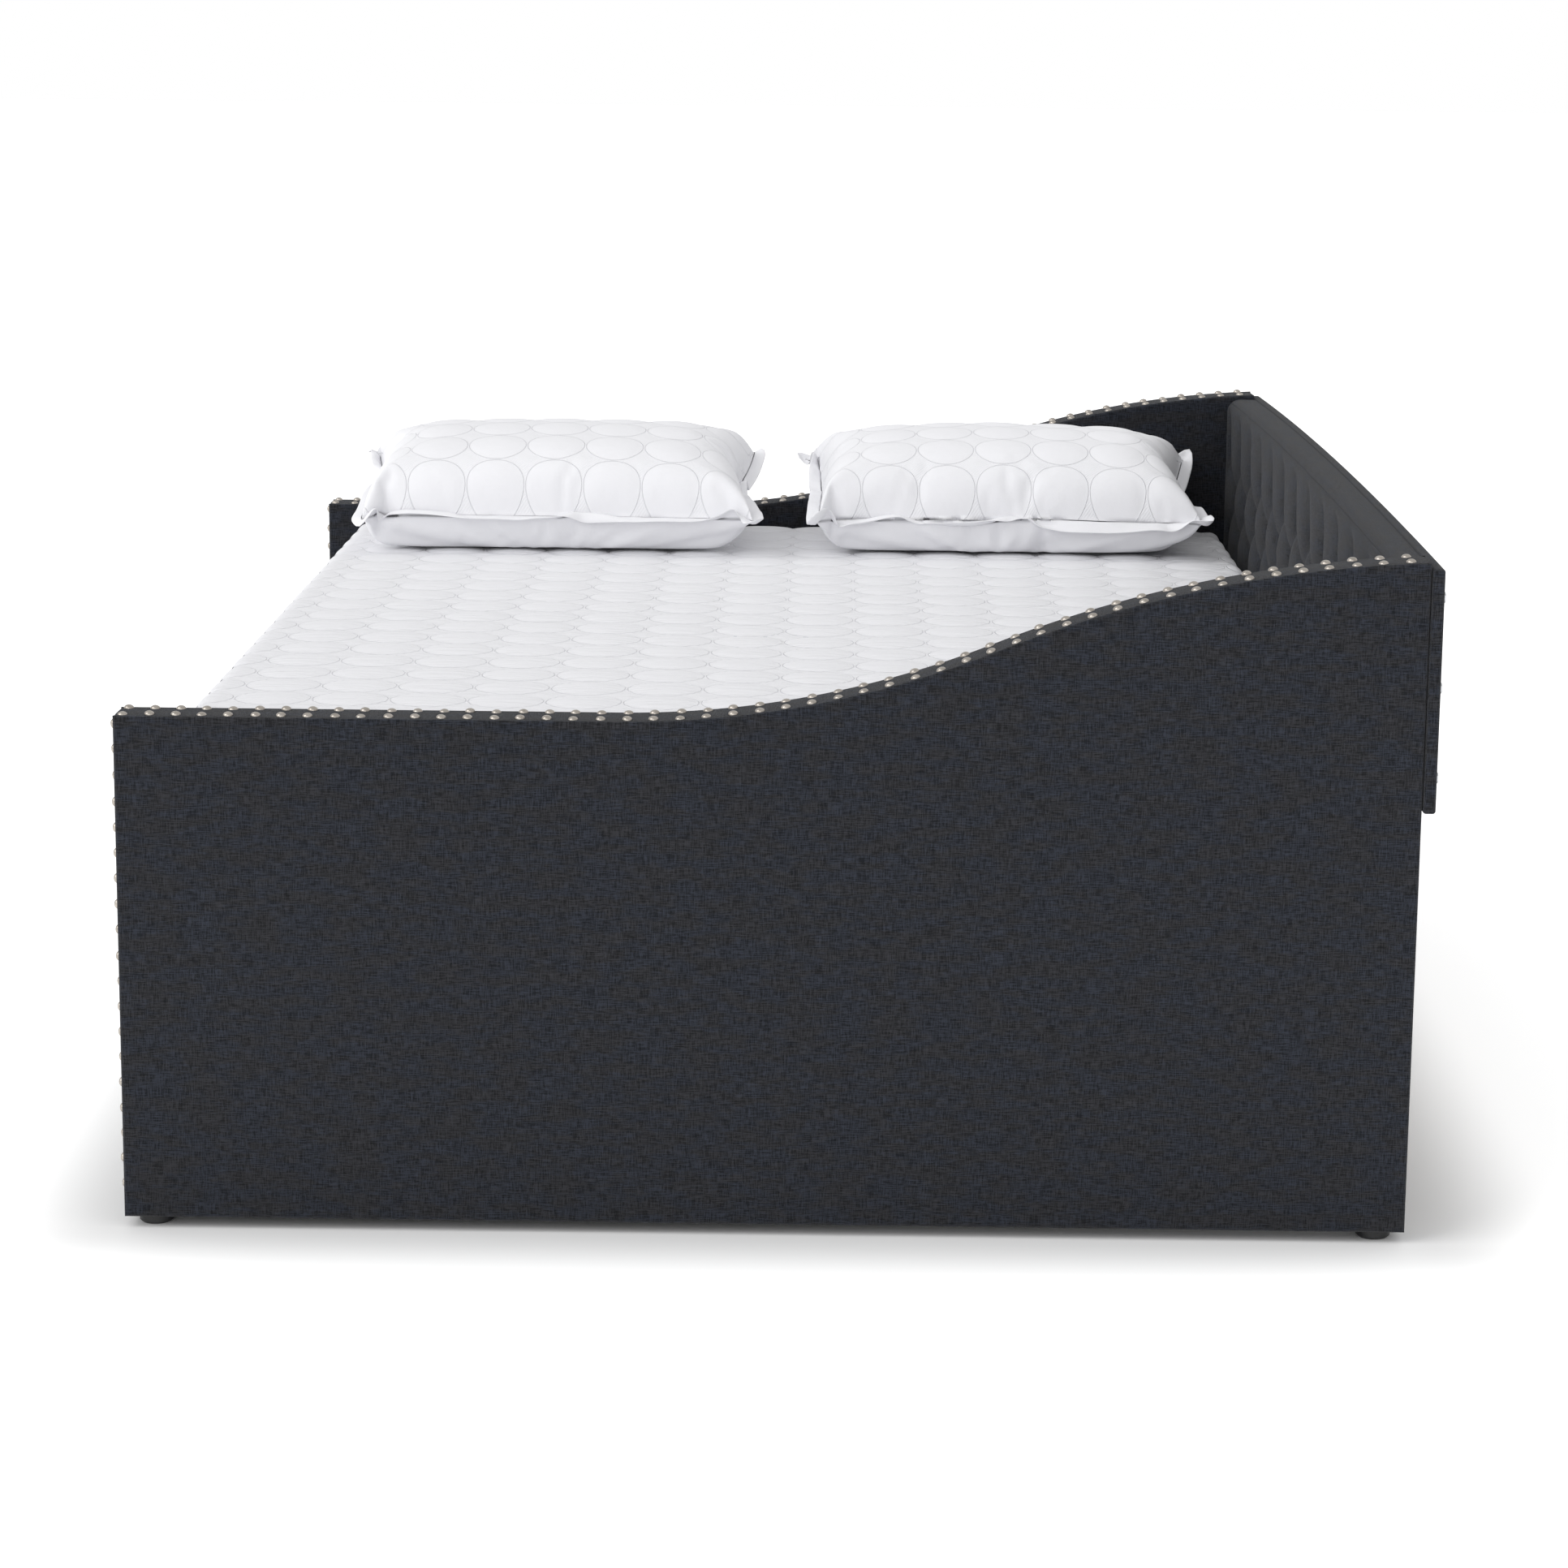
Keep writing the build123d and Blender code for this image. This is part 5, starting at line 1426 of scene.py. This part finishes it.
def upwards(grid):
    """The direction across a grid of points, on the side that faces up over most of it."""
    across = np.cross(np.gradient(grid, axis=0), np.gradient(grid, axis=1))
    across /= np.linalg.norm(across, axis=-1, keepdims=True).clip(1e-12)
    return across * np.sign(across[..., 2].mean())


def quilt_top(upper, cloth, fade):
    puff = (quilt_height(cloth[..., 0], cloth[..., 1]) - 1) * PILLOW_PUFF * fade
    return upper + upwards(upper) * puff[..., None]


def crease_under(under, flat, fade, rest, seed):
    """Creases where the underside is free of the bed."""
    fan = np.arctan2(flat[..., 1], flat[..., 0] - CREASES_MEET)
    free = np.clip((under[..., 2] - rest) / SOFTEN, 0, 1)
    crease = ripple(fan, fan * 0, 0.13, seed) * CREASE_DEPTH * np.sqrt(fade) * free
    return under - upwards(under) * crease[..., None]


def flange_patches(points, rings):
    """The two layers of the flange and its outer edge."""
    around = points[np.concatenate([rings[:, -1:], rings, rings[:, :2]], axis=1)]
    loop, rise = around[:, 1:-1], upwards(around)[:, 1:-1]
    half = np.array([0.0, FLANGE_HALF, FLANGE_HALF, FLANGE_HALF - 0.0001])[:, None, None]
    above, beneath = loop + rise * half, loop - rise * half
    steps = np.meshgrid(np.linspace(0, FLANGE, 4), np.arange(loop.shape[1]) * 0.011, indexing="ij")
    cloth = np.stack(steps, axis=-1)
    edge = np.stack([above[-1], beneath[-1]])
    return [(above, cloth), (beneath, cloth), (edge, cloth[:2])]


print("a flange is", FLANGE, "m wide and", 2 * FLANGE_HALF, "m thick")

# %% [markdown]
# The quilted top and the plain rest are different cottons. They are stitched apart, so that each keeps
# its material, and then joined at the seam. One subdivision smooths the whole.

# %% Both pillows
def join_pillow(name, top, case):
    """One mesh with two materials, welded at the seam."""
    work = bmesh.new()
    work.from_mesh(top.data)
    count = len(work.faces)
    work.from_mesh(case.data)
    for index, face in enumerate(work.faces):
        face.material_index = 0 if index < count else 1
    bmesh.ops.remove_doubles(work, verts=work.verts, dist=1e-5)
    bmesh.ops.recalc_face_normals(work, faces=work.faces)
    mesh = bpy.data.meshes.new(name + "_sewn")
    work.to_mesh(mesh)
    work.free()
    mesh.materials.append(PILLOW_TOP)
    mesh.materials.append(PLAIN_COTTON)
    bpy.data.objects.remove(top)
    bpy.data.objects.remove(case)
    pillow = bpy.data.objects.new(name + "_sewn", mesh)
    scene.collection.objects.link(pillow)
    smooth = pillow.modifiers.new("smooth", "SUBSURF")
    smooth.levels = smooth.render_levels = 1
    return pillow


def make_pillow(name, seed, curl):
    low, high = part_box(name)
    size = np.array(high - low)
    size[2] = PILLOW_THICKNESS
    points, flat, top, bottom, rings = pillow_pattern(seed)
    points = inflate(points, top, bottom, rings)
    points = lay_down(shape_pillow(points, size, curl), size, low, high)
    flat = flat.reshape(ROWS, COLUMNS, 2)
    to_rim = np.minimum(PANEL_ACROSS / 2 - np.abs(flat[..., 0]), PANEL_ALONG / 2 - np.abs(flat[..., 1]))
    fade = np.clip(to_rim / 0.04, 0, 1)
    cloth = flat + QUILT_PITCH / 2
    upper = quilt_top(points[top], cloth, fade)
    under = crease_under(points[bottom], flat, fade, low.z + PILLOW_CLEAR, seed + 5)
    quilted = stitch(name + "_top", [(upper, cloth)], PILLOW_TOP, weld=1e-6)
    case = stitch(name + "_case", [(under, cloth)] + flange_patches(points, rings), PLAIN_COTTON, weld=1e-6)
    pillow = join_pillow(name, quilted, case)
    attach(pillow, name)
    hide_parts(name)
    print(pillow.name, len(pillow.data.polygons), "faces before smoothing")
    return pillow


make_pillow("pillow_front", 101, 0.02)
make_pillow("pillow_back", 111, 0.0)

# %% [markdown]
# ## Finishes for the CAD parts
# The rest of the frame keeps its CAD shapes. Each one gets the finish of what it is made of.

# %% Finishes for the CAD parts
FINISHES = {
    PINE_ALONG_Y: ["right_arm_frame", "left_arm_frame", "trundle_ledgers", "trundle_bearers"],
    PINE_ALONG_X: ["back_battens", "front_rail", "rear_rail", "slat_ledgers", "trundle_centre_rail"],
    PLYWOOD: ["right_arm_inner_board", "right_arm_outer_board", "left_arm_inner_board",
              "left_arm_outer_board", "back_board", "trundle_front_board", "trundle_rear_board",
              "trundle_left_board", "trundle_right_board"],
    BLACK_PLASTIC: ["right_arm_feet", "left_arm_feet", "leg_caps"],
    BLACK_STEEL: ["rail_brackets", "beam_hangers", "support_beam", "support_legs"],
    ZINC: ["back_bolts", "rail_bolts", "trundle_bolts", "caster_axles", "caster_forks"],
    WHEEL_NYLON: ["caster_wheel_front_left", "caster_wheel_front_right", "caster_wheel_rear_left",
                  "caster_wheel_rear_right"],
}
for material, names in FINISHES.items():
    for name in names:
        nodes[name].data.materials.clear()
        nodes[name].data.materials.append(material)
shown = {name for name, node in nodes.items() if not node.hide_render}
finished = {name for names in FINISHES.values() for name in names}
print("CAD parts shown", len(shown), "without a finish:", sorted(shown - finished))

# %% [markdown]
# The visual stays inside the CAD box, give or take 3% of a side. The box round everything shown is
# printed, to set beside the CAD box printed at the start.

low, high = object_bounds()
print("visual box", [round(v, 4) for v in (*low, *high)])
